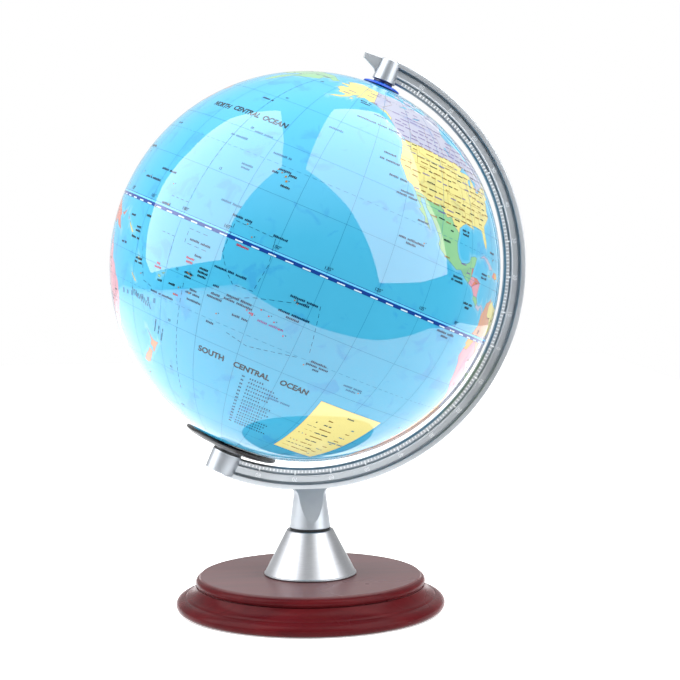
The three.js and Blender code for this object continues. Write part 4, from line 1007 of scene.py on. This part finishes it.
def shelf_points(starts, ends):
    """Points on both sides of each coast, where the pale shelf tint ends."""
    polar_lat, farthest_lat, least_shrink, shortest = 85, 80, 0.15, 0.3
    made = []
    for a, b in zip(starts, ends):
        if abs(a[1]) > polar_lat or abs(b[1]) > polar_lat:
            continue
        shrink = max(least_shrink, math.cos(math.radians((a[1] + b[1]) / 2)))
        dx, dy = (b[0] - a[0]) * shrink, b[1] - a[1]
        length = math.hypot(dx, dy)
        if length < shortest:
            continue
        steps = max(1, round(length / SHELF_SPACING))
        for k in range(steps):
            t = (k + 0.5) / steps
            for side in (1, -1):
                lon = a[0] + (b[0] - a[0]) * t - side * dy / length * SHELF_REACH / shrink
                lat = a[1] + (b[1] - a[1]) * t + side * dx / length * SHELF_REACH
                if MAP_WEST < lon < MAP_EAST and abs(lat) < farthest_lat:
                    made.append((lon, lat))
    return np.array(made)


def triangulate():
    """The whole map as triangles in longitude and latitude that keep every coast and border."""
    loops = list(COASTS.values()) + list(LAKES.values())
    starts, ends = segments(loops)
    verts, edges = [], []

    def add_line(line, closed):
        first = len(verts)
        clipped = [(lon, max(lat, -POLE_LAT)) for lon, lat in line]
        verts.extend(finely(clipped + clipped[:1])[:-1] if closed else finely(clipped))
        last = len(verts)
        edges.extend((i, i + 1) for i in range(first, last - 1))
        if closed:
            edges.append((last - 1, first))

    for loop in loops:
        add_line(loop, True)
    for line in BORDERS:
        add_line(line, False)
    print_edges = len(edges)
    add_line([(MAP_WEST, 0.0), (MAP_EAST, 0.0)], False)
    columns = round(360 / GRID)
    rows = [row for row in np.arange(-85, 86, GRID) if row]
    round_pole = np.linspace(MAP_WEST, MAP_EAST, columns + 1)
    rim = [(lon, lat) for lat in (-POLE_LAT, POLE_LAT) for lon in round_pole]
    sides = [(lon, lat) for lon in (MAP_WEST, MAP_EAST) for lat in np.arange(-85, 85.1, GRID / 5) if lat]
    fill = np.array([(MAP_WEST + GRID * k, lat) for lat in rows for k in range(1, columns)])
    extra = np.vstack([fill, shelf_points(starts, ends)])
    extra = extra[distance_to(extra, starts, ends) > COAST_CLEARANCE]
    cell = {}
    for lon, lat in extra:
        cell.setdefault((round(lon / FILL_CELL), round(lat / FILL_CELL)), (lon, lat))
    verts += rim + sides + list(cell.values())
    found = geometry.delaunay_2d_cdt([Vector(map(float, v)) for v in verts], edges, [], 0, 1e-6)
    points = np.array([tuple(v) for v in found[0]])
    wall = {tuple(sorted(edge)) for edge, origin in zip(found[1], found[4])
            if any(o < print_edges for o in origin)}
    return points, np.array([tuple(f) for f in found[2]]), wall, loops, starts, ends


def tint_faces(points, faces, wall, loops):
    """A tint for each triangle: land is flooded from the country seeds up to coasts and borders."""
    middles = points[faces].mean(1)
    land = inside(middles, loops)
    sharing = {}
    for index, face in enumerate(faces):
        for k in range(3):
            sharing.setdefault(tuple(sorted((face[k], face[(k + 1) % 3]))), []).append(index)
    neighbours = [[] for _ in faces]
    for edge, pair in sharing.items():
        if len(pair) == 2 and edge not in wall:
            neighbours[pair[0]].append(pair[1])
            neighbours[pair[1]].append(pair[0])
    seeds = [(name, seed) for name, group in COUNTRIES.items() for seed in group]
    where = np.array([seed for _, seed in seeds])
    land_index = np.nonzero(land)[0]
    found = [None] * len(faces)
    queue = []
    for name, seed in seeds:
        gap = np.hypot(*(middles[land_index] - seed).T)
        start = land_index[gap.argmin()]
        if found[start] is None:
            found[start] = name
            queue.append(start)
    for index in queue:
        for other in neighbours[index]:
            if land[other] and found[other] is None:
                found[other] = found[index]
                queue.append(other)
    for index in land_index:
        if found[index] is None:
            found[index] = seeds[int(np.hypot(*(where - middles[index]).T).argmin())][0]
    return found


OCEAN = "#50cbf7"
SHELF = "#86dcfb"
OCEAN_GAIN = 0.45
PRINT_GAIN = 0.43


def shade_as_ball(mesh):
    """Normals that point straight out from the ball's centre, so that flat facets look round."""
    centre = ON_AXLE @ Vector((0, 0, 0))
    mesh.shade_smooth()
    mesh.normals_split_custom_set_from_vertices([(v.co - centre).normalized() for v in mesh.vertices])


def print_on_ball(name, mesh, stands_for=()):
    made = bpy.data.objects.new(name, mesh)
    bpy.context.scene.collection.objects.link(made)
    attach(made, "globe")
    if stands_for:
        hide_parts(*stands_for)


def globe_map():
    """The two printed hemispheres, each a tinted skin with a short lip at the seam and the pole hole."""
    points, faces, wall, loops, starts, ends = triangulate()
    tints = tint_faces(points, faces, wall, loops)
    starts, ends = (np.vstack([side + (turn, 0) for turn in (-360, 0, 360)]) for side in (starts, ends))
    shelf = np.clip(1 - distance_to(points, starts, ends) / SHELF_REACH, 0, 1)
    colours = {name: np.array(scaled(linear(code), PRINT_GAIN)) for name, code in TINTS.items()}
    ocean, pale = (np.array(scaled(linear(code), OCEAN_GAIN)) for code in (OCEAN, SHELF))
    middles = points[faces].mean(1)
    for name, sign, node in (("north_print", 1, "north_hemisphere"), ("south_print", -1, "south_hemisphere")):
        own = [index for index, middle in enumerate(middles) if middle[1] * sign > 0]
        used = sorted({int(v) for index in own for v in faces[index]})
        number = {v: k for k, v in enumerate(used)}
        lats = [sign * max(SEAM_LAT, abs(points[v][1])) for v in used]
        spots = [on_ball(points[v][0], lat) for v, lat in zip(used, lats)]
        triangles = [[number[int(v)] for v in faces[index]] for index in own]
        skirt = []
        lip = {}
        for k, (spot, lat) in enumerate(zip(spots, lats)):
            if min(abs(lat - sign * edge) for edge in (SEAM_LAT, POLE_LAT)) < ON_EDGE:
                lip[k] = len(spots) + len(skirt)
                skirt.append(tuple(c * (1 - SHELL / BALL_R) for c in spot))
        sides = dict.fromkeys(side for t in triangles for side in zip(t, t[1:] + t[:1]))
        rims = [(a, b) for (a, b) in sides if (b, a) not in sides and a in lip and b in lip
                and abs(lats[a] - lats[b]) < ON_EDGE]
        quads = [[b, a, lip[a], lip[b]] for a, b in rims]
        mesh = bpy.data.meshes.new(name)
        mesh.from_pydata([ON_AXLE @ Vector(p) for p in spots + skirt], [], triangles + quads)
        mesh.materials.append(MAP)
        layer = mesh.color_attributes.new("tint", "FLOAT_COLOR", "CORNER")
        values = []
        for index, triangle in zip(own, triangles):
            for k in triangle:
                tint = tints[index]
                share = shelf[used[k]]
                values.append(colours[tint] if tint else ocean * (1 - share) + pale * share)
        values += [ocean] * (4 * len(quads))
        layer.data.foreach_set("color", np.array(values, np.float32).ravel())
        shade_as_ball(mesh)
        print_on_ball(name, mesh, (node,))

# ---------------------------------------------------------------- lines, figures and lettering on the ball

INKS = [DARK_INK, BLACK_INK, BLUE_INK, LINE_INK, PALE_INK, WHITE_INK, RED_INK, BROWN_INK, LILAC_INK,
        PAPER_INK, FAINT_INK]
DARK, BLACK_TEXT, DEEP_BLUE, LINE, PALE, WHITE, RED, BROWN, LILAC, PAPER, FAINT = range(len(INKS))
LABEL_INKS = {"dark": DARK, "black": BLACK_TEXT, "red": RED, "faint": FAINT, "lilac": LILAC}
LINE_LIFT, PANEL_LIFT, TEXT_LIFT = 0.04, 0.055, 0.07
LINE_WIDTH = 0.2
DEGREE_MM = math.radians(1) * BALL_R
CHANCE = random.Random(11)


def draw_line(marks, line, width, index):
    """A flat ribbon on the ball along a line of longitudes and latitudes."""
    spots = [Vector(on_ball(lon, lat, LINE_LIFT)) for lon, lat in finely(line)]
    first = len(marks.points)
    for k, spot in enumerate(spots):
        ahead = spots[min(k + 1, len(spots) - 1)] - spots[max(k - 1, 0)]
        across = ahead.cross(spot).normalized() * (width / 2)
        marks.points += [tuple(spot - across), tuple(spot + across)]
    for k in range(len(spots) - 1):
        low = first + 2 * k
        marks.faces.append((low, low + 1, low + 3, low + 2))
        marks.indices.append(index)


def draw_dashes(marks, line, width, index, dash=1.3, gap=0.9):
    """The same as a row of dashes, lengths in degrees."""
    for a, b in zip(line, line[1:]):
        length = math.hypot(b[0] - a[0], b[1] - a[1])
        count = max(1, round(length / (dash + gap)))
        for k in range(count):
            shares = k / count, (k + dash / (dash + gap)) / count
            ends = [(a[0] + (b[0] - a[0]) * t, a[1] + (b[1] - a[1]) * t) for t in shares]
            draw_line(marks, ends, width, index)


def bend_at(lon, lat, turn=0.0):
    """Places flat millimetres, turned by some degrees, round a point of the ball."""
    c, s = math.cos(math.radians(turn)), math.sin(math.radians(turn))

    def bend(u, v):
        up = lat + (u * s + v * c) / DEGREE_MM
        side = lon + (u * c - v * s) / DEGREE_MM / math.cos(math.radians(up))
        return on_ball(side, up, TEXT_LIFT)
    return bend


def letters(marks, lon, lat, pattern, index, height=1.45, turn=0.0, gap_share=0.16, from_left=False):
    """Stand-in lettering: rows of small blocks. '5 7/4' is words of 5 and 7 letters over one of 4."""
    width, gap, space, row_step = height * 0.55, height * gap_share, height * 0.75, height * 1.6
    bend = bend_at(lon, lat, turn)
    rows = pattern.split("/")
    for row_number, row in enumerate(rows):
        words = [int(word) for word in row.split()]
        total = sum(words) * (width + gap) + space * (len(words) - 1)
        u = 0.0 if from_left else -total / 2
        foot = ((len(rows) - 1) / 2 - row_number) * row_step - height / 2
        for word in words:
            for _ in range(word):
                marks.add(block(u, u + width, foot, foot + height * CHANCE.uniform(0.7, 1.0)), bend, index)
                u += width + gap
            u += space


def dot(marks, lon, lat, radius, index):
    ring = [(radius * math.cos(a), radius * math.sin(a)) for a in (math.pi * k / 4 for k in range(8))]
    marks.add((ring, [tuple(range(8))]), bend_at(lon, lat), index)


BIG_WORDS = [
    ("SOUTH", -158.6, -33.3), ("CENTRAL", -144.0, -33.5), ("OCEAN", -129.0, -33.1),
    ("NORTH", 162.6, 35.1), ("CENTRAL", 176.2, 35.6), ("OCEAN", -170.6, 35.6),
    ("OCEAN", -40.0, 30.0), ("OCEAN", -18.0, -28.0), ("OCEAN", 78.0, -24.0), ("SOUTH", 60.0, -24.0),
]
# 'lon,lat ink pattern' of each label, the pattern as in letters()
SMALL_LABELS = """
166.8,-3.6 black 5; 163.5,-8.1 black 5/6; 162.9,-10.6 black 6 3; 156.1,-13.1 dark 4 3;
167.2,-16.3 black 7/3 4; 176.7,-15.2 red 3/6; 178.4,-19 black 4; -176.6,-18.6 black 5; -174.6,-20.9 red 4;
179.9,-22.7 dark 6 2 9; -171.6,-14.4 black 6/5; -167.2,-12.2 black 6/7/6; -168.7,-18.3 dark 5/4 5;
-167.8,-20.6 dark 10; -159.4,-9 dark 8 4 7; -162.1,-14 dark 4; -161.6,-16.8 dark 6/10;
-154.4,-15.6 dark 8 7/7 10; -161.1,-24.4 dark 5; -152.6,-19.6 dark 5 4; -149.9,-17.2 red 3;
-158.7,-1.4 red 8; -171,-5 dark 7 7; -170.2,-8.5 dark 5; -172.4,-10.4 red 6/5; 158.1,-5 black 6;
-157.3,22.3 dark 8; -155,18 black 6; -159.8,21 dark 4; -154.4,21.6 black 5; -160.5,26.2 faint 9 2;
-137.6,-8.9 dark 9 7/8; -138.6,-13.7 dark 7 11/8; -143.6,-18.2 lilac 6 9; -126,-24.3 dark 10/7 6/4;
-112.1,-26.8 faint 6 6/7; -92.6,-2.2 dark 9 7/7; -115.1,17.6 dark 5 12/7; -128.4,40.9 dark 8;
-128,38.4 dark 3 9; -123.8,34.2 dark 6 5; -119.8,30.4 dark 9/7 6; -112.6,24.6 dark 8; -93.8,27 black 4 2/6;
-102.4,22.4 black 6; -95.2,13.4 black 9/2 8; -87.4,7.6 black 5 4/5; -145.1,58.2 dark 4 2/6;
-135.6,50.4 dark 12 6 7; -136,54.4 dark 8; -81,17.4 dark 8/4 3; -75,25 dark 7; -150,41.5 faint 9;
-170.5,30.4 faint 6 6; -177.5,27 faint 3 9; -168.6,19.2 faint 8/6; -167,8.2 faint 7 6; -150,4.6 dark 9;
-162,5.6 dark 7 5; -131,-39.8 faint 7 6; 178,43 dark 6 2; 166,10.2 dark 8 7; 172,1.4 dark 8;
160,6.6 dark 6 2 10; 144,15.6 dark 7 7; 135,8 dark 5; 150,25 faint 7; 80,-8 dark 6 5; 60,14 dark 6 3;
88,14 dark 3 2 6; 72,-38 faint 9 5; -30,10 dark 4 5; -50,45 dark 7; -25,-10 faint 9 5; -58,33 dark 8;
5,-36 faint 6 4; -96,-48 faint 7 5; 115,-50 faint 6 9; 0,72 dark 9 3
"""
OUTLINES = open_lines("""
-163.4,4.4 -151.2,4 -150.2,-3.2 -151.6,-11.4 -157.6,-11.8 -160.4,-9.4 -163.6,-4.8 -163.4,4.4 / -176,-2.4
-168.6,-2.4 / -168.4,-6.4 -176,-6.4 -176,-2.4 / 180,60 180,4 172,4 / 180,-14 180,-6 174,-6 / -172.5,-51
-172.5,-16 / -160,-17 -151,-13 -133,-8 -130,-22 / -133,-23.8 -148,-26.6 -156,-25 / 168,-12 171,-21 176,-22
""")
ISLAND_DOTS = path("""
-155.5,19.6 -156.3,20.8 -157.9,21.5 -159.4,22 -149.5,-17.6 -151.4,-16.8 -145,-16 -143,-17 -141,-18.4
-139.2,-19.6 -147.6,-15.2 -140.1,-9.2 -139,-9.8 -172,-13.7 -171.5,-14 -170.7,-14.3 -175.2,-21.1 -174,-18.7
-169.9,-19 -159.8,-21.2 -157.4,1.9 -160,4.7 173,1.4 171.2,7.1 158.2,6.9 151.8,7.4 138.1,9.5 144.8,13.5
134.5,7.5 167.9,-0.5 169.3,-19.5 -90.6,-0.4 -109.4,-27.1 -130.1,-25.1 -78.8,-33.6 -110.9,18.8 -77,25
-74.5,23 -61.3,13.9 -61.5,16.2 -59.5,13.2 -25.5,37.8 -17,32.8 -16,28.2 -23.6,15.1 55.5,-21.1 57.6,-20.3
55.5,-4.7 73.2,4.2 72.4,-7.3 93,11.8 69.5,-49.3 -5.7,-16 -14.4,-8 -36.8,-54.4 159,-54.6 166.1,-50.7
""")


def graticule(marks):
    """Meridians and parallels each 15 degrees, tropics and polar circles, and their figures."""
    meridians = range(-165, 195, 15)
    parallels = [lat for lat in range(-75, 90, 15) if lat]
    for lon in meridians:
        draw_line(marks, [(lon, -80), (lon, 80)], LINE_WIDTH, LINE)
    for lat in parallels:
        draw_line(marks, [(MAP_WEST, lat), (MAP_EAST, lat)], LINE_WIDTH, LINE)
    for lat in (-66.5, -23.5, 23.5, 66.5):
        draw_dashes(marks, [(MAP_WEST, lat), (MAP_EAST, lat)], 0.22, LINE, 1.4, 1.1)
    for lon in meridians:
        marks.add(digits(f"{abs(lon)}\u00b0", 2.1, 0.012), bend_at(lon, 2.0), DARK)
    for lon in (-175.9, -56, 64):
        for lat in parallels:
            marks.add(digits(str(abs(lat)), 1.7), bend_at(lon, lat + 1.0), DARK)


def equator_band(marks):
    """Thin line, pale strip and heavy line over a row of alternating blue and white dashes; the heavy line
    over the seam is painted shade standing in for the seam's groove.
    """
    # the heavy blue ring from -0.22 to 0.36 degrees lies over the seam and is painted shade of the seam's
    # groove
    rings = [(0.84, 0.98, DEEP_BLUE), (0.36, 0.84, PALE), (-0.22, 0.36, DEEP_BLUE), (-0.66, -0.56, DEEP_BLUE)]
    for low, high, index in rings:
        middle = (low + high) / 2
        draw_line(marks, [(MAP_WEST, middle), (MAP_EAST, middle)], (high - low) * DEGREE_MM, index)
    dash_lat, dash_width, dash_step, blue_share = -0.39, 0.34 * DEGREE_MM, 5, 2.7
    for k in range(360 // dash_step):
        west = MAP_WEST + dash_step * k
        for start, end, index in ((0, blue_share, DEEP_BLUE), (blue_share, dash_step, WHITE)):
            draw_line(marks, [(west + start, dash_lat), (west + end, dash_lat)], dash_width, index)


def map_lines():
    """Everything on the ball that is drawn with lines and dashes."""
    marks = Marks()
    graticule(marks)
    equator_band(marks)
    for loop in (*list(COASTS.values())[:-1], *LAKES.values()):
        draw_line(marks, loop + loop[:1], LINE_WIDTH, LINE)
    draw_line(marks, COASTS["antarctica"][:-2], LINE_WIDTH, LINE)
    for line in BORDERS:
        draw_line(marks, line, LINE_WIDTH, LILAC)
    for line in STATE_LINES:
        draw_line(marks, line, 0.16, BROWN)
    for line in OUTLINES:
        draw_dashes(marks, line, 0.26, DARK)
    ball_marks("map_lines", marks)


def legend_box(marks):
    """Pale key panel with a border, symbols and rows of stand-in lettering."""
    west, east, north, south = -118.4, -91.2, -33.8, -59.5
    bands, columns = 14, 12
    for k in range(bands):
        band = [north + (south - north) * t for t in (k / bands, (k + 1) / bands)]
        points = [(west + (east - west) * c / columns, lat) for c in range(columns + 1) for lat in band]
        faces = [(2 * c, 2 * c + 1, 2 * c + 3, 2 * c + 2) for c in range(columns)]
        marks.add((points, faces), lambda lon, lat: on_ball(lon, lat, PANEL_LIFT), PAPER)
    border = [(west, north), (east, north), (east, south), (west, south), (west, north)]
    draw_line(marks, border, 0.3, LILAC)
    letters(marks, -103.4, -36.4, "6", DARK, 1.3)
    rows = [("", "5"), ("dot", "4 3"), ("dark", "13"), ("brown", "6 7"), ("symbols", "14"), ("brown", "5 6"),
            ("symbols", "7 4"), ("blue", "7"), ("brown", "9 8")]
    for k, (sign, pattern) in enumerate(rows):
        lat = -39.6 - 2.15 * k
        if sign == "dot":
            dot(marks, west + 4.6, lat, 0.55, BLACK_TEXT)
        elif sign == "symbols":
            for step, symbol in enumerate((BROWN, LINE, RED)):
                dot(marks, west + 2.4 + 1.7 * step, lat, 0.5, symbol)
        elif sign:
            symbol, width = {"dark": (DARK, 0.4), "brown": (BROWN, 0.35), "blue": (DARK, 0.8)}[sign]
            reach = 12.5 if sign == "blue" else 6.5
            draw_line(marks, [(west + 2.2, lat), (west + reach, lat)], width, symbol)
        start = west + (14.0 if sign == "blue" else 8.0)
        letters(marks, start, lat, pattern, (BROWN, DARK)[k % 2], 1.15, gap_share=0.06, from_left=True)
        note = ("4", "6", "5 2", "7")[k % 4]
        letters(marks, -97.6, lat - 0.7, note, (FAINT, BROWN)[k % 2], 1.0, gap_share=0.06)


def name_list(marks):
    """The numbered list of names beside the key."""
    for k, count in enumerate((6, 11, 13, 10, 10, 7, 12, 11, 12, 10, 9, 13, 12, 11, 13)):
        lat = -36.0 - 1.4 * k
        letters(marks, -145.9, lat, "2", DARK, 1.3)
        letters(marks, -143.6, lat, str(count), DARK, 1.35, gap_share=0.62, from_left=True)


def side_list(marks):
    """The slanting list by the date line."""
    for k in range(9):
        letters(marks, 165.6 + 1.15 * k, -25.4 - 0.25 * k, ("8", "7", "9", "6")[k % 4], DARK, 0.85, -62)
    for k, pattern in enumerate(("13", "4 4", "9 3")):
        letters(marks, 177.6 + 1.6 * k, -32.5 - k, pattern, DARK, 0.95, 78)


def land_labels(marks):
    """Rows of small stand-in names over all land, closest together over North America."""
    loops = list(COASTS.values()) + list(LAKES.values())
    rows, south, row_step, letter_mm, margin = 66, -52, 1.9, 0.68, 3
    for row in range(rows):
        lat = south + row_step * row
        lon = MAP_WEST + CHANCE.uniform(0, margin)
        while lon < MAP_EAST - margin:
            dense = -130 < lon < -62 and 26 < lat < 62
            count = CHANCE.randint(4, 9)
            length = count * letter_mm / DEGREE_MM / max(0.3, math.cos(math.radians(lat)))
            ends = np.array([(lon, lat), (lon + length, lat)])
            if inside(ends, loops).all() and CHANCE.random() < (0.9 if dense else 0.4):
                colour = CHANCE.choice((BROWN, BROWN, BLACK_TEXT, LILAC)) if lat < 49 else LILAC
                place = (lon + length / 2, lat + CHANCE.uniform(-0.3, 0.3))
                letters(marks, *place, str(count), colour, 0.95)
            lon += length + (0.8 if dense else CHANCE.uniform(1.5, 6))


def map_lettering():
    """Ocean names, stand-in labels, island dots, the key and the lists."""
    marks = Marks()
    for word, lon, lat in BIG_WORDS:
        marks.add(digits(word, 3.8, 0.045), bend_at(lon, lat), BLACK_TEXT)
    for label in SMALL_LABELS.split(";"):
        place, colour, pattern = label.split(maxsplit=2)
        letters(marks, *path(place)[0], pattern, LABEL_INKS[colour])
    for k, lon in enumerate(np.linspace(158.5, 177.0, 7)):
        marks.add(block(-1.0, 1.0, -1.5, 1.5 - 0.5 * (k % 2)), bend_at(lon, -26.6 + 0.2 * k), FAINT)
    for k, (lon, lat) in enumerate(ISLAND_DOTS):
        dot(marks, lon, lat, 0.75 if k < 2 else 0.5, RED if 3 < k < 11 else BROWN)
        dot(marks, lon + 0.7, lat + 0.3, 0.35, DARK)
    legend_box(marks)
    name_list(marks)
    side_list(marks)
    land_labels(marks)
    ball_marks("map_lettering", marks)


def ball_marks(name, marks):
    """A printed layer on the ball, with its faces turned outwards and shaded as the ball is."""
    mesh = bpy.data.meshes.new(name)
    mesh.from_pydata([ON_AXLE @ Vector(p) for p in marks.points], [], marks.faces)
    for material in INKS:
        mesh.materials.append(material)
    mesh.polygons.foreach_set("material_index", marks.indices)
    centre = ON_AXLE @ Vector((0, 0, 0))
    work = bmesh.new()
    work.from_mesh(mesh)
    for face in work.faces:
        if face.normal.dot(face.calc_center_median() - centre) < 0:
            face.normal_flip()
    work.to_mesh(mesh)
    work.free()
    shade_as_ball(mesh)
    print_on_ball(name, mesh)

# ---------------------------------------------------------------- carried-over CAD nodes

CARRIED = {
    "felt_pad": FELT,
    "clamp_bolt": STEEL,
    "spring_washer": STEEL,
    "flat_washer": STEEL,
    "threaded_insert": BRASS,
    "axle_rod": STEEL,
    "axle_screw_north": STEEL,
    "axle_screw_south": STEEL,
    "equator_ring": NYLON,
    "north_bush": NYLON,
    "south_bush": NYLON,
    "thrust_washer": NYLON,
}


def dress_cad_nodes():
    for node, material in CARRIED.items():
        materials = frame["nodes"][node].data.materials
        materials.clear()
        materials.append(material)


# ---------------------------------------------------------------- studio

PANEL_DISTANCE = 1500.0
PANEL_GLOW = 5.3
FLOOR_GLOW = 0.4
FLOOR_EDGE = [(-1500, -1550), (190, -300), (430, -190), (600, 40), (640, 600), (640, 1600), (-1500, 1600)]
# outlines of the lamp panels as directions from the ball's centre: azimuth and elevation in degrees
LEFT_PANEL = [(-153, 75), (-136, 57), (-120, 43), (-116, 28), (-112, 18), (-108, 2.5), (-103, -2), (-78, 2),
              (-54, 6), (-51, 24), (-43, 43), (-28, 59), (-46, 76)]
RIGHT_PANEL = [(137, 72), (129, 54), (109, 49), (77, 34), (79, -3), (60, -6), (34, -6), (29, 13), (21, 34),
               (-6, 58), (40, 81)]


def glow(name, colour, strength):
    material = bpy.data.materials.new(name)
    material.use_nodes = True
    tree = material.node_tree
    tree.nodes.clear()
    emission = tree.nodes.new("ShaderNodeEmission")
    emission.inputs["Color"].default_value = colour
    emission.inputs["Strength"].default_value = strength
    output = tree.nodes.new("ShaderNodeOutputMaterial")
    tree.links.new(emission.outputs[0], output.inputs["Surface"])
    return material


def stage_mesh(name, points, faces, material):
    mesh = bpy.data.meshes.new(name)
    mesh.from_pydata([Vector(p) * MM for p in points], [], faces)
    mesh.materials.append(material)
    made = bpy.data.objects.new(name, mesh)
    bpy.context.scene.collection.objects.link(made)
    return made


def soft_panel(name, corners):
    """A lamp panel with an outline of directions, fanned round its middle and hidden from the camera."""
    points = []
    for azimuth, elevation in corners:
        a, e = math.radians(azimuth), math.radians(elevation)
        away = Vector((math.sin(a) * math.cos(e), -math.cos(a) * math.cos(e), math.sin(e)))
        points.append(BALL_CENTRE + away * PANEL_DISTANCE)
    middle = sum(points, Vector((0, 0, 0))) / len(points)
    outward = (middle - BALL_CENTRE).normalized()
    points.append(BALL_CENTRE + outward * PANEL_DISTANCE)
    last = len(corners)
    faces = [(k, (k + 1) % last, last) for k in range(last)]
    panel = stage_mesh(name, points, faces, glow(name, (1, 1, 1, 1), PANEL_GLOW))
    panel.visible_camera = False


def floor():
    """White table top that glows a little, cut away where it would show as an edge."""
    shader = Shader("floor", roughness=0.6, specular_ior_level=0.1, emission_color=(1, 1, 1, 1),
                    emission_strength=FLOOR_GLOW)
    cloud = shader.noise(3, 2)
    shader.colour(shader.mix(shader.between(cloud, 0, 1), (0.93, 0.93, 0.93, 1), (0.95, 0.95, 0.95, 1)))
    stage_mesh("floor", [(x, y, 0) for x, y in FLOOR_EDGE], [tuple(range(len(FLOOR_EDGE)))], shader.material)


def world():
    """White backdrop for the camera, and a room that is bright behind the globe and dim before it."""
    made = bpy.data.worlds.new("studio")
    bpy.context.scene.world = made
    made.use_nodes = True
    tree = made.node_tree
    background = tree.nodes["Background"]
    place = tree.nodes.new("ShaderNodeTexCoord")
    split = tree.nodes.new("ShaderNodeSeparateXYZ")
    tree.links.new(place.outputs["Generated"], split.inputs[0])
    strength = tree.nodes.new("ShaderNodeLightPath").outputs["Is Camera Ray"]
    for axis, start, end, low, high in (("Y", -0.15, 0.55, 0.14, 0.80), ("Z", 0.15, 0.95, 0.0, 1.2)):
        ranged = tree.nodes.new("ShaderNodeMapRange")
        ranged.interpolation_type = "SMOOTHSTEP"
        for socket, value in (("From Min", start), ("From Max", end), ("To Min", low), ("To Max", high)):
            ranged.inputs[socket].default_value = value
        tree.links.new(split.outputs[axis], ranged.inputs["Value"])
        brighter = tree.nodes.new("ShaderNodeMath")
        brighter.operation = "MAXIMUM"
        tree.links.new(strength, brighter.inputs[0])
        tree.links.new(ranged.outputs["Result"], brighter.inputs[1])
        strength = brighter.outputs[0]
    tree.links.new(strength, background.inputs["Strength"])
    background.inputs["Color"].default_value = (1, 1, 1, 1)


# ---------------------------------------------------------------- everything

wood_base()
collar()
seal()
arm_bow()
arm_hubs()
pointer_fin()
neck()
arm_scale()
hub_plugs()
dial()
axle_trim()
globe_map()
map_lines()
map_lettering()
dress_cad_nodes()
floor()
soft_panel("panel_left", LEFT_PANEL)
soft_panel("panel_right", RIGHT_PANEL)
world()
bpy.context.scene.view_settings.view_transform = "Standard"
